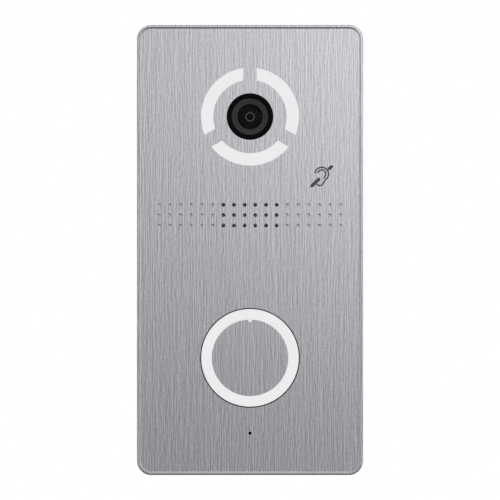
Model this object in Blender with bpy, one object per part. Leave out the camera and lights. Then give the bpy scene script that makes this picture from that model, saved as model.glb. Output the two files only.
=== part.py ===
"""Door intercom panel for flush mounting in a wall or gate post.

A brushed aluminium front tray carries a camera with a lit ring, a speaker grille, a microphone and
a large lit call button. A sealed rear housing holds the electronics and has an open bay for the
network jack and the wiring terminals. The tray hooks on a steel bracket that is fixed to the wall.

The front faces -Y, the wall plane is y = 0 and +Z is up. Every piece is modelled about the middle
of the panel, (x, z) = (0, 0), and hangs from one empty. That empty puts the world's origin at the
centre of the bracket's upper bar, on the wall plane.
"""

import math

import bmesh
import bpy
from mathutils import Matrix, Vector

MM = 0.001
GAP = 0.05 * MM  # between pieces that lie against each other
PAST = 1.0 * MM  # how far a cutter runs out of the surface it opens

# --- front tray ---------------------------------------------------------------------------------
PANEL_WIDTH = 100.0 * MM
PANEL_HEIGHT = 199.0 * MM
CORNER_RADIUS = 6.3 * MM
RIM_Y = -8.5 * MM  # crest of the raised rim
FACE_Y = -8.0 * MM  # brushed face, just below the rim
FACE_BACK_Y = -6.0 * MM
SKIRT_BACK_Y = -0.3 * MM
SKIRT_WALL = 2.0 * MM
EDGE_CHAMFER = 0.55 * MM
RIM_FLAT = 0.45 * MM
BEHIND_FACE_Y = FACE_BACK_Y + GAP  # where pieces that lie against the face start

# --- camera -------------------------------------------------------------------------------------
CAMERA_Z = 59.0 * MM
CAMERA_HOLE_RADIUS = 10.2 * MM
LIGHT_INNER_RADIUS = 16.15 * MM
LIGHT_OUTER_RADIUS = 21.7 * MM
LIGHT_GAP = 5.9 * MM  # bar of metal between two lit segments
SEGMENT_ANGLES = [math.radians(a) for a in (30, 150, 270)]
CAMERA_BOSS_X = 27.0 * MM
LED_RING_RADIUS = 19.0 * MM

# --- speaker and microphone ---------------------------------------------------------------------
SPEAKER_Z = 15.4 * MM
HOLE_PITCH_X = 4.72 * MM
HOLE_PITCH_Z = 4.57 * MM
HOLE_COLUMNS = 18
OPEN_COLUMNS = range(6, 12)  # the middle third is drilled through, the rest are dimples
HOLE_ROWS = 3
HOLE_RADIUS = 0.8 * MM
DIMPLE_RADIUS = 0.75 * MM
DIMPLE_DEPTH = 0.4 * MM
MIC_Z = -81.0 * MM
MIC_HOLE_RADIUS = 0.7 * MM

# --- call button --------------------------------------------------------------------------------
BUTTON_Z = -47.7 * MM
BUTTON_HOLE_RADIUS = 22.0 * MM
RING_RADIUS = 21.55 * MM
DISC_SEAT_RADIUS = 16.95 * MM
DISC_RADIUS = 16.9 * MM
DISC_THICKNESS = 1.5 * MM
RING_PROUD = 0.4 * MM
DISC_PROUD = 0.2 * MM
KEY_HALF_WIDTH = 0.8 * MM  # the ring's small key that stops the disc from turning
KEY_DEPTH = 1.2 * MM
BUTTON_BOSS_X = 28.2 * MM
SPRING_ANGLES = [math.radians(a) for a in (90, 210, 330)]
SPRING_CIRCLE_RADIUS = 13.0 * MM

# --- rear housing and bracket -------------------------------------------------------------------
WALL = 2.0 * MM
HOUSING_HALF_X = 41.0 * MM
HOUSING_TOP_Z = 86.0 * MM
HOUSING_BOTTOM_Z = -87.7 * MM
HOUSING_BACK_Y = 37.5 * MM
HOUSING_CORNER_RADIUS = 4.0 * MM
FLANGE_HALF_X = 47.2 * MM
FLANGE_HALF_Z = 94.2 * MM
FLANGE_FRONT_Y = -5.1 * MM
FLANGE_BACK_Y = -3.1 * MM
HOUSING_SCREWS = [(x * MM, z * MM) for x in (-36, 36) for z in (-91.8, 91.8)]
BAY_HALF_X = 33.0 * MM
BAY_TOP_Z = -50.0 * MM
BAY_FLOOR_Y = 26.0 * MM
BRACKET_HALF_X = 47.4 * MM
BRACKET_HALF_Z = 96.2 * MM
BRACKET_SHEET = 1.5 * MM
WINDOW_HALF_X = 41.6 * MM
WINDOW_TOP_Z = 86.6 * MM
WINDOW_BOTTOM_Z = -88.3 * MM
WALL_SLOT_X = 24.0 * MM
LUG_Z = BRACKET_HALF_Z - BRACKET_SHEET / 2  # middle of the bracket's bent lugs
TONGUE_X = 24.0 * MM
TONGUE_Y = -2.4 * MM
SECURITY_SCREW_X = 30.0 * MM
SECURITY_SCREW_Y = -3.0 * MM
UPPER_BAR_Z = (WINDOW_TOP_Z + BRACKET_HALF_Z) / 2

# --- electronics --------------------------------------------------------------------------------
BOARD = 1.6 * MM  # thickness of every circuit board
SCREW_HOLE_RADIUS = 1.4 * MM
MAIN_BOARD_Y = 15.0 * MM
ON_BOARD_Y = MAIN_BOARD_Y + BOARD + GAP  # where parts on the board's rear side start
POSTS = [(x * MM, z * MM) for x, z in ((-31, 74), (31, 74), (-31, -42), (31, -42))]
JACK_CENTRE = (-20.0 * MM, -64.0 * MM)
TERMINAL_CENTRE = (13.0 * MM, -64.0 * MM)
TERMINAL_WAYS = 8
TERMINAL_PITCH = 3.81 * MM
TAMPER_CENTRE = (-16.0 * MM, 62.0 * MM)

BUTTON_ROUND = 48  # sides of the call button and its hole
ROUND = 32  # sides of the other large round pieces
SPEAKER_ROUND = 24
SMALL_ROUND = 20
TINY_ROUND = 10


# ================================================================================== tools


def clear_scene():
    for thing in list(bpy.data.objects):
        bpy.data.objects.remove(thing)


def make_material(name, color, roughness, metallic=0.0):
    material = bpy.data.materials.new(name)
    material.use_nodes = True
    shader = material.node_tree.nodes["Principled BSDF"]
    shader.inputs["Base Color"].default_value = (*color, 1)
    shader.inputs["Roughness"].default_value = roughness
    shader.inputs["Metallic"].default_value = metallic
    return material


def place(name, bm, material=None, centre=(0, 0)):
    """Makes the object of a bmesh, at (x, z) = centre under the assembly's empty."""
    bmesh.ops.recalc_face_normals(bm, faces=bm.faces)
    mesh = bpy.data.meshes.new(name)
    bm.to_mesh(mesh)
    bm.free()
    mesh.shade_smooth()
    mesh.set_sharp_from_angle(angle=math.radians(35))
    if material:
        mesh.materials.append(material)
    thing = bpy.data.objects.new(name, mesh)
    bpy.context.scene.collection.objects.link(thing)
    thing.parent = ASSEMBLY
    thing.location = (centre[0], 0, centre[1])
    return thing


def combine(piece, tool, operation):
    modifier = piece.modifiers.new(tool.name, "BOOLEAN")
    modifier.operation = operation
    modifier.object = tool
    tool.hide_render = True
    tool.display_type = "WIRE"


def cut(piece, *tools):
    for tool in tools:
        combine(piece, tool, "DIFFERENCE")


def fuse(piece, *tools):
    for tool in tools:
        combine(piece, tool, "UNION")


def turned(name, profile, material=None, centre=(0, 0), steps=ROUND):
    """A piece turned about an axis along Y. profile holds (radius, y) points: a closed loop, or a
    line from the axis to the axis."""
    bm = bmesh.new()
    points = [bm.verts.new((radius, y, 0)) for radius, y in profile]
    edges = [bm.edges.new(pair) for pair in zip(points, points[1:])]
    if profile[0][0] > 0:
        edges.append(bm.edges.new((points[-1], points[0])))
    bmesh.ops.spin(
        bm,
        geom=points + edges,
        cent=(0, 0, 0),
        axis=(0, 1, 0),
        angle=math.tau,
        steps=steps,
        use_merge=True,
    )
    bmesh.ops.remove_doubles(bm, verts=bm.verts, dist=1e-6)
    return place(name, bm, material, centre)


def disc(name, radius, front, back, material=None, centre=(0, 0), steps=ROUND):
    profile = [(0, front), (radius, front), (radius, back), (0, back)]
    return turned(name, profile, material, centre, steps)


def ring(name, inner, outer, front, back, material=None, centre=(0, 0), steps=ROUND):
    profile = [(inner, front), (outer, front), (outer, back), (inner, back)]
    return turned(name, profile, material, centre, steps)


def rounded_outline(half_x, low_z, high_z, radius, steps=6):
    """(x, z) points of a rectangle with round corners, anticlockwise as seen from the front."""
    corners = [
        (half_x - radius, high_z - radius, 0),
        (-half_x + radius, high_z - radius, 90),
        (-half_x + radius, low_z + radius, 180),
        (half_x - radius, low_z + radius, 270),
    ]
    points = []
    for x, z, start in corners:
        for step in range(steps + 1):
            angle = math.radians(start + 90 * step / steps)
            points.append((x + radius * math.cos(angle), z + radius * math.sin(angle)))
    return points


def box_outline(half_x, half_z):
    return [(half_x, half_z), (-half_x, half_z), (-half_x, -half_z), (half_x, -half_z)]


def slot_outline(half_length, radius, steps=6):
    """A slot along X with round ends."""
    points = []
    for side, start in ((1, -90), (-1, 90)):
        for step in range(steps + 1):
            angle = math.radians(start + 180 * step / steps)
            x = side * (half_length - radius) + radius * math.cos(angle)
            points.append((x, radius * math.sin(angle)))
    return points


def segment_outline(middle, inner, outer, gap, steps=12):
    """One lit segment: a ring's sector whose ends are parallel to the metal bars beside it."""
    points = []
    for radius, direction in ((outer, 1), (inner, -1)):
        reach = math.pi / 3 - math.asin(gap / 2 / radius)
        for step in range(steps + 1):
            angle = middle + direction * reach * (2 * step / steps - 1)
            points.append((radius * math.cos(angle), radius * math.sin(angle)))
    return points


def prism(name, outline, front, back, material=None, centre=(0, 0)):
    """The outline pushed along Y from front to back."""
    bm = bmesh.new()
    face = bm.faces.new([bm.verts.new((x, front, z)) for x, z in outline])
    pushed = bmesh.ops.extrude_face_region(bm, geom=[face])
    moved = [part for part in pushed["geom"] if isinstance(part, bmesh.types.BMVert)]
    bmesh.ops.translate(bm, verts=moved, vec=(0, back - front, 0))
    return place(name, bm, material, centre)


def stack(name, layers, material=None, centre=(0, 0)):
    """Bridges outlines that lie at different y, and closes the first and the last. layers holds
    (outline, y)."""
    bm = bmesh.new()
    loops = []
    for outline, y in layers:
        points = [bm.verts.new((x, y, z)) for x, z in outline]
        pairs = zip(points, points[1:] + points[:1])
        loops.append((points, [bm.edges.new(pair) for pair in pairs]))
    for (_, first), (_, second) in zip(loops, loops[1:]):
        bmesh.ops.bridge_loops(bm, edges=first + second)
    for points, _ in (loops[0], loops[-1]):
        bm.faces.new(points)
    return place(name, bm, material, centre)


def brick(name, size, centre, material=None, bevel=0.0):
    """A box of size (x, y, z) around centre (x, y, z), its edges bevelled."""
    bm = bmesh.new()
    bmesh.ops.create_cube(bm, size=1, matrix=Matrix.Diagonal((*size, 1)))
    bmesh.ops.translate(bm, verts=bm.verts, vec=(0, centre[1], 0))
    if bevel:
        bmesh.ops.bevel(bm, geom=bm.edges[:], offset=bevel, segments=1, affect="EDGES")
    return place(name, bm, material, (centre[0], centre[2]))


def pins(name, places, front_radius, back_radius, front, back, steps=TINY_ROUND):
    """One cutter made of round pins along Y, one at each (x, z)."""
    bm = bmesh.new()
    along_y = Matrix.Rotation(math.radians(-90), 4, "X")
    for x, z in places:
        bmesh.ops.create_cone(
            bm,
            cap_ends=True,
            segments=steps,
            radius1=front_radius,
            radius2=back_radius,
            depth=back - front,
            matrix=Matrix.Translation((x, (front + back) / 2, z)) @ along_y,
        )
    return place(name, bm)


def on_circle(radius, angles, centre=(0, 0)):
    return [(centre[0] + radius * math.cos(a), centre[1] + radius * math.sin(a)) for a in angles]


def both_sides(x, z=0.0):
    return [(-x, z), (x, z)]


# ================================================================================== front tray


def tray_outline(inset):
    return rounded_outline(
        PANEL_WIDTH / 2 - inset,
        -PANEL_HEIGHT / 2 + inset,
        PANEL_HEIGHT / 2 - inset,
        CORNER_RADIUS - inset,
    )


def grille_places(columns):
    """(x, z) of the grille's holes in these columns, all rows."""
    first_x = -(HOLE_COLUMNS - 1) / 2 * HOLE_PITCH_X
    return [
        (first_x + column * HOLE_PITCH_X, SPEAKER_Z + row * HOLE_PITCH_Z)
        for column in columns
        for row in range(-(HOLE_ROWS // 2), HOLE_ROWS // 2 + 1)
    ]


def build_front_panel():
    rim_outer = EDGE_CHAMFER
    rim_inner = rim_outer + RIM_FLAT
    face_inset = rim_inner + (FACE_Y - RIM_Y)
    layers = [
        (tray_outline(SKIRT_WALL), FACE_BACK_Y),
        (tray_outline(SKIRT_WALL), SKIRT_BACK_Y),
        (tray_outline(0), SKIRT_BACK_Y),
        (tray_outline(0), RIM_Y + EDGE_CHAMFER),
        (tray_outline(rim_outer), RIM_Y),
        (tray_outline(rim_inner), RIM_Y),
        (tray_outline(face_inset), FACE_Y),
    ]
    panel = stack("front_panel", layers, ALUMINIUM)
    through = (FACE_Y - PAST, FACE_BACK_Y + PAST)

    camera = (0, CAMERA_Z)
    button = (0, BUTTON_Z)
    cut(panel, disc("camera_hole", CAMERA_HOLE_RADIUS, *through, centre=camera))
    cut(panel, disc("button_hole", BUTTON_HOLE_RADIUS, *through, centre=button, steps=BUTTON_ROUND))
    for angle in SEGMENT_ANGLES:
        outline = segment_outline(angle, LIGHT_INNER_RADIUS, LIGHT_OUTER_RADIUS, LIGHT_GAP)
        cut(panel, prism("light_window", outline, *through, centre=camera))
    small_holes = grille_places(OPEN_COLUMNS)
    cut(panel, pins("grille_holes", small_holes, HOLE_RADIUS, HOLE_RADIUS, *through, steps=8))
    dimples = grille_places(c for c in range(HOLE_COLUMNS) if c not in OPEN_COLUMNS)
    dimple_end = FACE_Y + DIMPLE_DEPTH
    cone = (DIMPLE_RADIUS * 2, 0.1 * MM, FACE_Y - DIMPLE_DEPTH, dimple_end)
    cut(panel, pins("grille_dimples", dimples, *cone, steps=6))
    mic = [(0, MIC_Z)]
    cut(panel, pins("mic_hole", mic, MIC_HOLE_RADIUS, MIC_HOLE_RADIUS, *through))

    add_bosses(panel, both_sides(CAMERA_BOSS_X, CAMERA_Z), 2.6 * MM, -2.2 * MM, "camera_boss")
    add_bosses(panel, both_sides(BUTTON_BOSS_X, BUTTON_Z), 2.6 * MM, -2.2 * MM, "button_boss")
    add_bosses(panel, HOUSING_SCREWS, 2.1 * MM, -5.15 * MM, "housing_boss")
    add_security_holes(panel)
    add_tongue_pockets(panel)


def add_bosses(panel, places, radius, end, name):
    """Round bosses on the back of the face, each with a tapped blind hole."""
    root = FACE_BACK_Y - 0.8 * MM
    fuse(panel, pins(name, places, radius, radius, root, end))
    pilot = 1.35 * MM
    hole = (FACE_BACK_Y - 1.4 * MM, end + PAST)
    cut(panel, pins(name + "_thread", places, pilot, pilot, *hole, steps=8))


def upright_pin(name, radius, low, high, x, y, steps=TINY_ROUND):
    """A round pin along Z."""
    bm = bmesh.new()
    bmesh.ops.create_cone(
        bm,
        cap_ends=True,
        segments=steps,
        radius1=radius,
        radius2=radius,
        depth=high - low,
        matrix=Matrix.Translation((x, y, (low + high) / 2)),
    )
    return place(name, bm)


def add_security_holes(panel):
    """Stepped holes in the lower skirt, for the screws that lock the tray to the bracket."""
    bottom = -PANEL_HEIGHT / 2
    for x, _ in both_sides(SECURITY_SCREW_X):
        for radius, depth in ((2.9 * MM, 1.2 * MM), (1.6 * MM, 3.0 * MM)):
            low, high = bottom - PAST, bottom + depth
            cut(panel, upright_pin("security_hole", radius, low, high, x, SECURITY_SCREW_Y))


def add_tongue_pockets(panel):
    """Blind pockets inside the upper skirt, where the bracket's tongues hold the tray."""
    for x, _ in both_sides(TONGUE_X):
        size = (10 * MM, 2.4 * MM, 1.5 * MM)
        middle = (x, TONGUE_Y, PANEL_HEIGHT / 2 - SKIRT_WALL + 0.55 * MM)
        cut(panel, brick("tongue_pocket", size, middle))


# ================================================================================== camera


def build_camera():
    centre = (0, CAMERA_Z)
    build_light_guide(centre)
    build_light_board(centre)
    front = FACE_Y - 0.15 * MM
    bezel = [
        (8.35 * MM, front + 0.1 * MM),
        (8.6 * MM, front),
        (9.85 * MM, front),
        (10.1 * MM, front + 0.25 * MM),
        (10.1 * MM, BEHIND_FACE_Y),
        (12.4 * MM, BEHIND_FACE_Y),
        (12.4 * MM, -4.8 * MM),
        (8.2 * MM, -4.8 * MM),
        (8.2 * MM, front + 0.5 * MM),
    ]
    turned("camera_bezel", bezel, BLACK_PLASTIC, centre)
    hood = [
        (5.6 * MM, -6.1 * MM),
        (5.8 * MM, -6.2 * MM),
        (8.1 * MM, -7.4 * MM),
        (8.1 * MM, -4.7 * MM),
        (9.5 * MM, -4.7 * MM),
        (9.5 * MM, -4.0 * MM),
        (6.3 * MM, -4.0 * MM),
        (6.3 * MM, -5.0 * MM),
        (5.6 * MM, -5.0 * MM),
    ]
    turned("camera_hood", hood, DARK_PLASTIC, centre)
    build_lens(centre)
    build_camera_board(centre)


def dome(radius, edge_y, height, steps=3):
    """(radius, y) points of a spherical cap from its axis to its edge, bulging towards the front."""
    sphere = (radius**2 + height**2) / (2 * height)
    reach = math.asin(radius / sphere)
    points = []
    for step in range(steps + 1):
        angle = reach * step / steps
        rise = sphere * math.cos(angle) - (sphere - height)
        points.append((sphere * math.sin(angle), edge_y - rise))
    points[0] = (0, points[0][1])
    return points


def build_lens(centre):
    front_lens = dome(5.5 * MM, -5.2 * MM, 1.0 * MM)
    front_lens += [(5.5 * MM, -4.25 * MM), (0, -4.25 * MM)]
    turned("front_lens", front_lens, GLASS, centre)
    barrel = [
        (5.6 * MM, -4.9 * MM),
        (6.0 * MM, -4.9 * MM),
        (6.0 * MM, 6.0 * MM),
        (4.9 * MM, 6.0 * MM),
        (4.9 * MM, -4.2 * MM),
        (5.6 * MM, -4.2 * MM),
    ]
    turned("lens_barrel", barrel, BLACK_METAL, centre)
    iris = [
        (1.66 * MM, -3.5 * MM),
        (2.1 * MM, -3.5 * MM),
        (2.1 * MM, -3.2 * MM),
        (4.85 * MM, -3.2 * MM),
        (4.85 * MM, -2.6 * MM),
        (1.66 * MM, -2.6 * MM),
    ]
    turned("iris_ring", iris, DARK_PLASTIC, centre)
    inner_lens = dome(2.6 * MM, -1.9 * MM, 0.6 * MM)
    inner_lens += [(2.6 * MM, -1.0 * MM), (0, -1.0 * MM)]
    turned("inner_lens", inner_lens, GLASS, centre, steps=SMALL_ROUND)


def build_light_guide(centre):
    """White ring behind the tray, with three raised segments that fill the curved windows."""
    guide = ring(
        "camera_light_guide", 15.4 * MM, 22.6 * MM, BEHIND_FACE_Y, -4.0 * MM, WHITE, centre
    )
    for angle in SEGMENT_ANGLES:
        outline = segment_outline(
            angle,
            LIGHT_INNER_RADIUS + GAP,
            LIGHT_OUTER_RADIUS - GAP,
            LIGHT_GAP + 2 * GAP,
        )
        fuse(guide, prism("guide_segment", outline, FACE_Y, -4.5 * MM, centre=centre))


def build_light_board(centre):
    front, back = -1.9 * MM, -0.3 * MM
    board = ring("camera_light_board", 13.2 * MM, 23.2 * MM, front, back, BOARD_GREEN, centre)
    for x, z in both_sides(25.0 * MM, centre[1]):
        size = (9.6 * MM, back - front, 6.4 * MM)
        fuse(board, brick("light_board_ear", size, (x, (front + back) / 2, z)))
    screws = both_sides(CAMERA_BOSS_X, CAMERA_Z)
    hole = (SCREW_HOLE_RADIUS, SCREW_HOLE_RADIUS, front - PAST, back + PAST)
    cut(board, pins("light_board_hole", screws, *hole))
    for number, place_xz in enumerate(on_circle(LED_RING_RADIUS, SEGMENT_ANGLES, centre), 1):
        build_led(f"camera_led_{number}", place_xz, front)
    for number, (x, z) in enumerate(screws, 1):
        build_screw(f"camera_screw_{number}", (x, z), back, -5.2 * MM)


def build_led(name, centre, board_front):
    """A surface-mounted light on the front of a board."""
    size = (3.5 * MM, 1.8 * MM, 2.8 * MM)
    middle = (centre[0], board_front - GAP - size[1] / 2, centre[1])
    brick(name, size, middle, LED_WHITE, bevel=0.2 * MM)


def build_screw(name, centre, seat, tip, head_radius=2.4 * MM, head=1.4 * MM, shank=1.15 * MM):
    """A round-headed screw along Y, driven from behind: its head lies on seat, its tip points to
    the front."""
    top = seat + GAP
    profile = [
        (0, tip),
        (shank, tip),
        (shank, top),
        (head_radius, top),
        (head_radius, top + head * 0.55),
        (head_radius * 0.62, top + head),
        (0, top + head),
    ]
    turned(name, profile, STEEL, centre, steps=TINY_ROUND)


def build_camera_board(centre):
    holder = [
        (6.1 * MM, 0.5 * MM),
        (7.8 * MM, 0.5 * MM),
        (7.8 * MM, 7.0 * MM),
        (9.6 * MM, 7.0 * MM),
        (9.6 * MM, 10.9 * MM),
        (6.1 * MM, 10.9 * MM),
    ]
    turned("lens_holder", holder, BLACK_PLASTIC, centre)
    size = (8 * MM, 1.2 * MM, 8 * MM)
    brick("image_sensor", size, (0, 10.35 * MM, centre[1]), SILICON)
    size = (38 * MM, BOARD, 34 * MM)
    brick("camera_board", size, (0, 11.8 * MM, centre[1]), BOARD_GREEN)
    build_camera_ribbon()


def build_camera_ribbon():
    """The flat cable that runs from the camera board down to the main board."""
    thickness, half_width = 0.3 * MM, 4.0 * MM
    start_y, end_y = 12.95 * MM, 14.65 * MM
    bend_top, bend_bottom = 40.0 * MM, 30.0 * MM
    steps = 6
    line = [(start_y, 48.0 * MM)]
    for step in range(steps + 1):
        share = step / steps
        ease = (1 - math.cos(math.pi * share)) / 2
        line.append((start_y + (end_y - start_y) * ease, bend_top + (bend_bottom - bend_top) * share))
    line.append((end_y, 22.0 * MM))
    bm = bmesh.new()
    front = [bm.verts.new((-half_width, y - thickness / 2, z)) for y, z in line]
    back = [bm.verts.new((-half_width, y + thickness / 2, z)) for y, z in line]
    side = bm.faces.new(front + back[::-1])
    pushed = bmesh.ops.extrude_face_region(bm, geom=[side])
    moved = [part for part in pushed["geom"] if isinstance(part, bmesh.types.BMVert)]
    bmesh.ops.translate(bm, verts=moved, vec=(2 * half_width, 0, 0))
    place("camera_ribbon", bm, RIBBON)


# ================================================================================== speaker


def build_speaker():
    centre = (0, SPEAKER_Z)
    disc("speaker_mesh", 15.0 * MM, BEHIND_FACE_Y, -5.7 * MM, MESH_BLACK, centre, SPEAKER_ROUND)
    sides = SPEAKER_ROUND
    ring("speaker_gasket", 15.2 * MM, 18.2 * MM, BEHIND_FACE_Y, -4.65 * MM, RUBBER, centre, sides)
    basket = [
        (15.4 * MM, -4.6 * MM),
        (18.2 * MM, -4.6 * MM),
        (18.2 * MM, -3.2 * MM),
        (16.6 * MM, -3.2 * MM),
        (10.2 * MM, 2.6 * MM),
        (10.2 * MM, 3.8 * MM),
        (7.0 * MM, 3.8 * MM),
        (7.0 * MM, 2.6 * MM),
        (9.2 * MM, 2.4 * MM),
        (15.4 * MM, -3.4 * MM),
    ]
    turned("speaker_basket", basket, STEEL, centre, sides)
    turned("speaker_surround", surround_profile(), RUBBER, centre, sides)
    cone = dome(4.9 * MM, -1.2 * MM, 1.2 * MM)
    cone += [
        (12.3 * MM, -4.3 * MM),
        (12.3 * MM, -3.8 * MM),
        (5.2 * MM, -0.4 * MM),
        (5.2 * MM, 4.9 * MM),
        (4.6 * MM, 4.9 * MM),
        (4.6 * MM, -0.6 * MM),
        (0, -1.7 * MM),
    ]
    turned("speaker_cone", cone, PAPER_CONE, centre, sides)
    magnet = [
        (0, 1.2 * MM),
        (4.2 * MM, 1.2 * MM),
        (4.2 * MM, 6.0 * MM),
        (5.8 * MM, 6.0 * MM),
        (5.8 * MM, 3.9 * MM),
        (9.8 * MM, 3.9 * MM),
        (9.8 * MM, 8.6 * MM),
        (0, 8.6 * MM),
    ]
    turned("speaker_magnet", magnet, STEEL, centre, sides)


def surround_profile():
    """The speaker's rubber half roll, as a closed (radius, y) loop of even thickness."""
    middle, base, thickness, steps = 13.85 * MM, -3.9 * MM, 0.3 * MM, 4
    outer, inner = [], []
    for step in range(steps + 1):
        angle = math.pi * step / steps
        for points, radius in ((outer, 1.4 * MM), (inner, 1.4 * MM - thickness)):
            points.append((middle + radius * math.cos(angle), base - radius * math.sin(angle)))
    return outer + inner[::-1]


def build_microphone():
    centre = (0, MIC_Z)
    boot = [
        (0.8 * MM, BEHIND_FACE_Y),
        (4.2 * MM, BEHIND_FACE_Y),
        (4.2 * MM, -1.2 * MM),
        (3.1 * MM, -1.2 * MM),
        (3.1 * MM, -4.3 * MM),
        (0.8 * MM, -4.3 * MM),
    ]
    turned("microphone_boot", boot, RUBBER, centre, SMALL_ROUND)
    disc("microphone_capsule", 3.0 * MM, -4.25 * MM, -1.5 * MM, STEEL, centre, SMALL_ROUND)


# ================================================================================== button


def key_outline(radius, half_width, depth):
    """The key on the ring's inner edge, at the top, from inside the ring's wall to its tip."""
    outer = radius + 1.0 * MM
    tip = radius - depth
    return [
        (half_width * 1.25, outer),
        (-half_width * 1.25, outer),
        (-half_width * 0.75, tip),
        (half_width * 0.75, tip),
    ]


def build_button():
    centre = (0, BUTTON_Z)
    ring_front = FACE_Y - RING_PROUD
    disc_front = FACE_Y - DISC_PROUD
    floor_front = disc_front + DISC_THICKNESS + GAP
    floor_back = -4.3 * MM
    bevel = 0.2 * MM
    profile = [
        (0, floor_front),
        (DISC_SEAT_RADIUS, floor_front),
        (DISC_SEAT_RADIUS, ring_front + bevel / 2),
        (DISC_SEAT_RADIUS + bevel / 2, ring_front),
        (RING_RADIUS - bevel, ring_front),
        (RING_RADIUS, ring_front + bevel),
        (RING_RADIUS, -5.5 * MM),
        (23.15 * MM, -5.5 * MM),
        (23.15 * MM, floor_back),
        (3.0 * MM, floor_back),
        (3.0 * MM, -0.15 * MM),
        (0, -0.15 * MM),
    ]
    light_ring = turned("button_ring", profile, WHITE, centre, BUTTON_ROUND)
    key = key_outline(DISC_SEAT_RADIUS, KEY_HALF_WIDTH, KEY_DEPTH)
    fuse(light_ring, prism("ring_key", key, ring_front + bevel, -6.2 * MM, centre=centre))

    edge = 0.15 * MM
    back = disc_front + DISC_THICKNESS
    cap_profile = [
        (0, disc_front),
        (DISC_RADIUS - edge, disc_front),
        (DISC_RADIUS, disc_front + edge),
        (DISC_RADIUS, back),
        (0, back),
    ]
    cap = turned("button_disc", cap_profile, ALUMINIUM, centre, BUTTON_ROUND)
    keyway = key_outline(DISC_SEAT_RADIUS, KEY_HALF_WIDTH + 0.06 * MM, KEY_DEPTH + 0.06 * MM)
    cut(cap, prism("keyway", keyway, disc_front - PAST, back + PAST, centre=centre))

    ring("button_seal", 22.15 * MM, 23.2 * MM, BEHIND_FACE_Y, -5.55 * MM, RUBBER, centre)
    build_button_holder(centre)
    build_button_switch(centre)
    for number, spot in enumerate(on_circle(SPRING_CIRCLE_RADIUS, SPRING_ANGLES, centre), 1):
        build_spring(f"button_spring_{number}", spot, -4.2 * MM, -0.1 * MM)


def build_button_holder(centre):
    """Guides the button, carries its springs and clips to its board; two ears screw to the tray."""
    sleeve_inner, sleeve_outer, rear = 23.4 * MM, 25.2 * MM, 3.0 * MM
    plate_front, plate_back, hub_hole = 0.0, 1.4 * MM, 5.5 * MM
    profile = [
        (sleeve_inner, BEHIND_FACE_Y),
        (sleeve_outer, BEHIND_FACE_Y),
        (sleeve_outer, rear),
        (sleeve_inner, rear),
        (sleeve_inner, plate_back),
        (hub_hole, plate_back),
        (hub_hole, plate_front),
        (sleeve_inner, plate_front),
    ]
    holder = turned("button_holder", profile, BLACK_PLASTIC, centre)
    ear_front, ear_back = -2.15 * MM, -0.15 * MM
    for x, z in both_sides(27.9 * MM, BUTTON_Z):
        size = (7.2 * MM, ear_back - ear_front, 6.8 * MM)
        fuse(holder, brick("holder_ear", size, (x, (ear_front + ear_back) / 2, z)))
    screws = both_sides(BUTTON_BOSS_X, BUTTON_Z)
    hole = (SCREW_HOLE_RADIUS, SCREW_HOLE_RADIUS, ear_front - PAST, plate_back + PAST)
    cut(holder, pins("holder_hole", screws, *hole))
    lights = on_circle(LED_RING_RADIUS, SEGMENT_ANGLES, centre)
    hole = (2.7 * MM, 2.7 * MM, plate_front - PAST, plate_back + PAST)
    cut(holder, pins("light_hole", lights, *hole, SMALL_ROUND))
    for number, spot in enumerate(screws, 1):
        build_screw(f"button_screw_{number}", spot, ear_back, -5.2 * MM)


def build_button_switch(centre):
    """The board behind the button, with its lights and the switch that the button's hub presses."""
    front = 3.05 * MM
    disc("button_board", 25.0 * MM, front, front + BOARD, BOARD_GREEN, centre)
    for number, spot in enumerate(on_circle(LED_RING_RADIUS, SEGMENT_ANGLES, centre), 1):
        build_led(f"button_led_{number}", spot, front)
    body_front = 0.95 * MM
    size = (6 * MM, front - GAP - body_front, 6 * MM)
    middle = (0, body_front + size[1] / 2, BUTTON_Z)
    body = brick("switch_body", size, middle, BLACK_PLASTIC, bevel=0.3 * MM)
    hole = (1.85 * MM, 1.85 * MM, body_front - PAST, front - 0.75 * MM)
    cut(body, pins("plunger_hole", [centre], *hole, SMALL_ROUND))
    disc("switch_plunger", 1.65 * MM, -0.05 * MM, 1.15 * MM, RED_PLASTIC, centre, 16)


def build_spring(name, centre, front, back):
    """A coil spring along Y."""
    wire, coil_radius, turns, points_per_turn = 0.25 * MM, 2.05 * MM, 4, 8
    length = back - front - 2 * wire
    count = turns * points_per_turn
    curve = bpy.data.curves.new(name, "CURVE")
    curve.dimensions = "3D"
    curve.bevel_depth = wire
    curve.bevel_resolution = 0
    curve.use_fill_caps = True
    spline = curve.splines.new("POLY")
    spline.points.add(count)
    for step, point in enumerate(spline.points):
        angle = math.tau * step / points_per_turn
        y = front + wire + length * step / count
        point.co = (coil_radius * math.cos(angle), y, coil_radius * math.sin(angle), 1)
    curve.materials.append(STEEL)
    spring = bpy.data.objects.new(name, curve)
    bpy.context.scene.collection.objects.link(spring)
    spring.parent = ASSEMBLY
    spring.location = (centre[0], 0, centre[1])


# ================================================================================== rear housing


def housing_outline(inset):
    return rounded_outline(
        HOUSING_HALF_X - inset,
        HOUSING_BOTTOM_Z + inset,
        HOUSING_TOP_Z - inset,
        HOUSING_CORNER_RADIUS - inset,
        steps=4,
    )


def bay_cutter(name, wall, depth_end):
    """The connection bay grown by a wall's thickness; it runs out through the housing's foot."""
    low = HOUSING_BOTTOM_Z - 10 * MM
    high = BAY_TOP_Z + wall
    half_x = BAY_HALF_X + wall
    outline = [(half_x, high), (-half_x, high), (-half_x, low), (half_x, low)]
    return prism(name, outline, BAY_FLOOR_Y - wall, depth_end)


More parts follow.
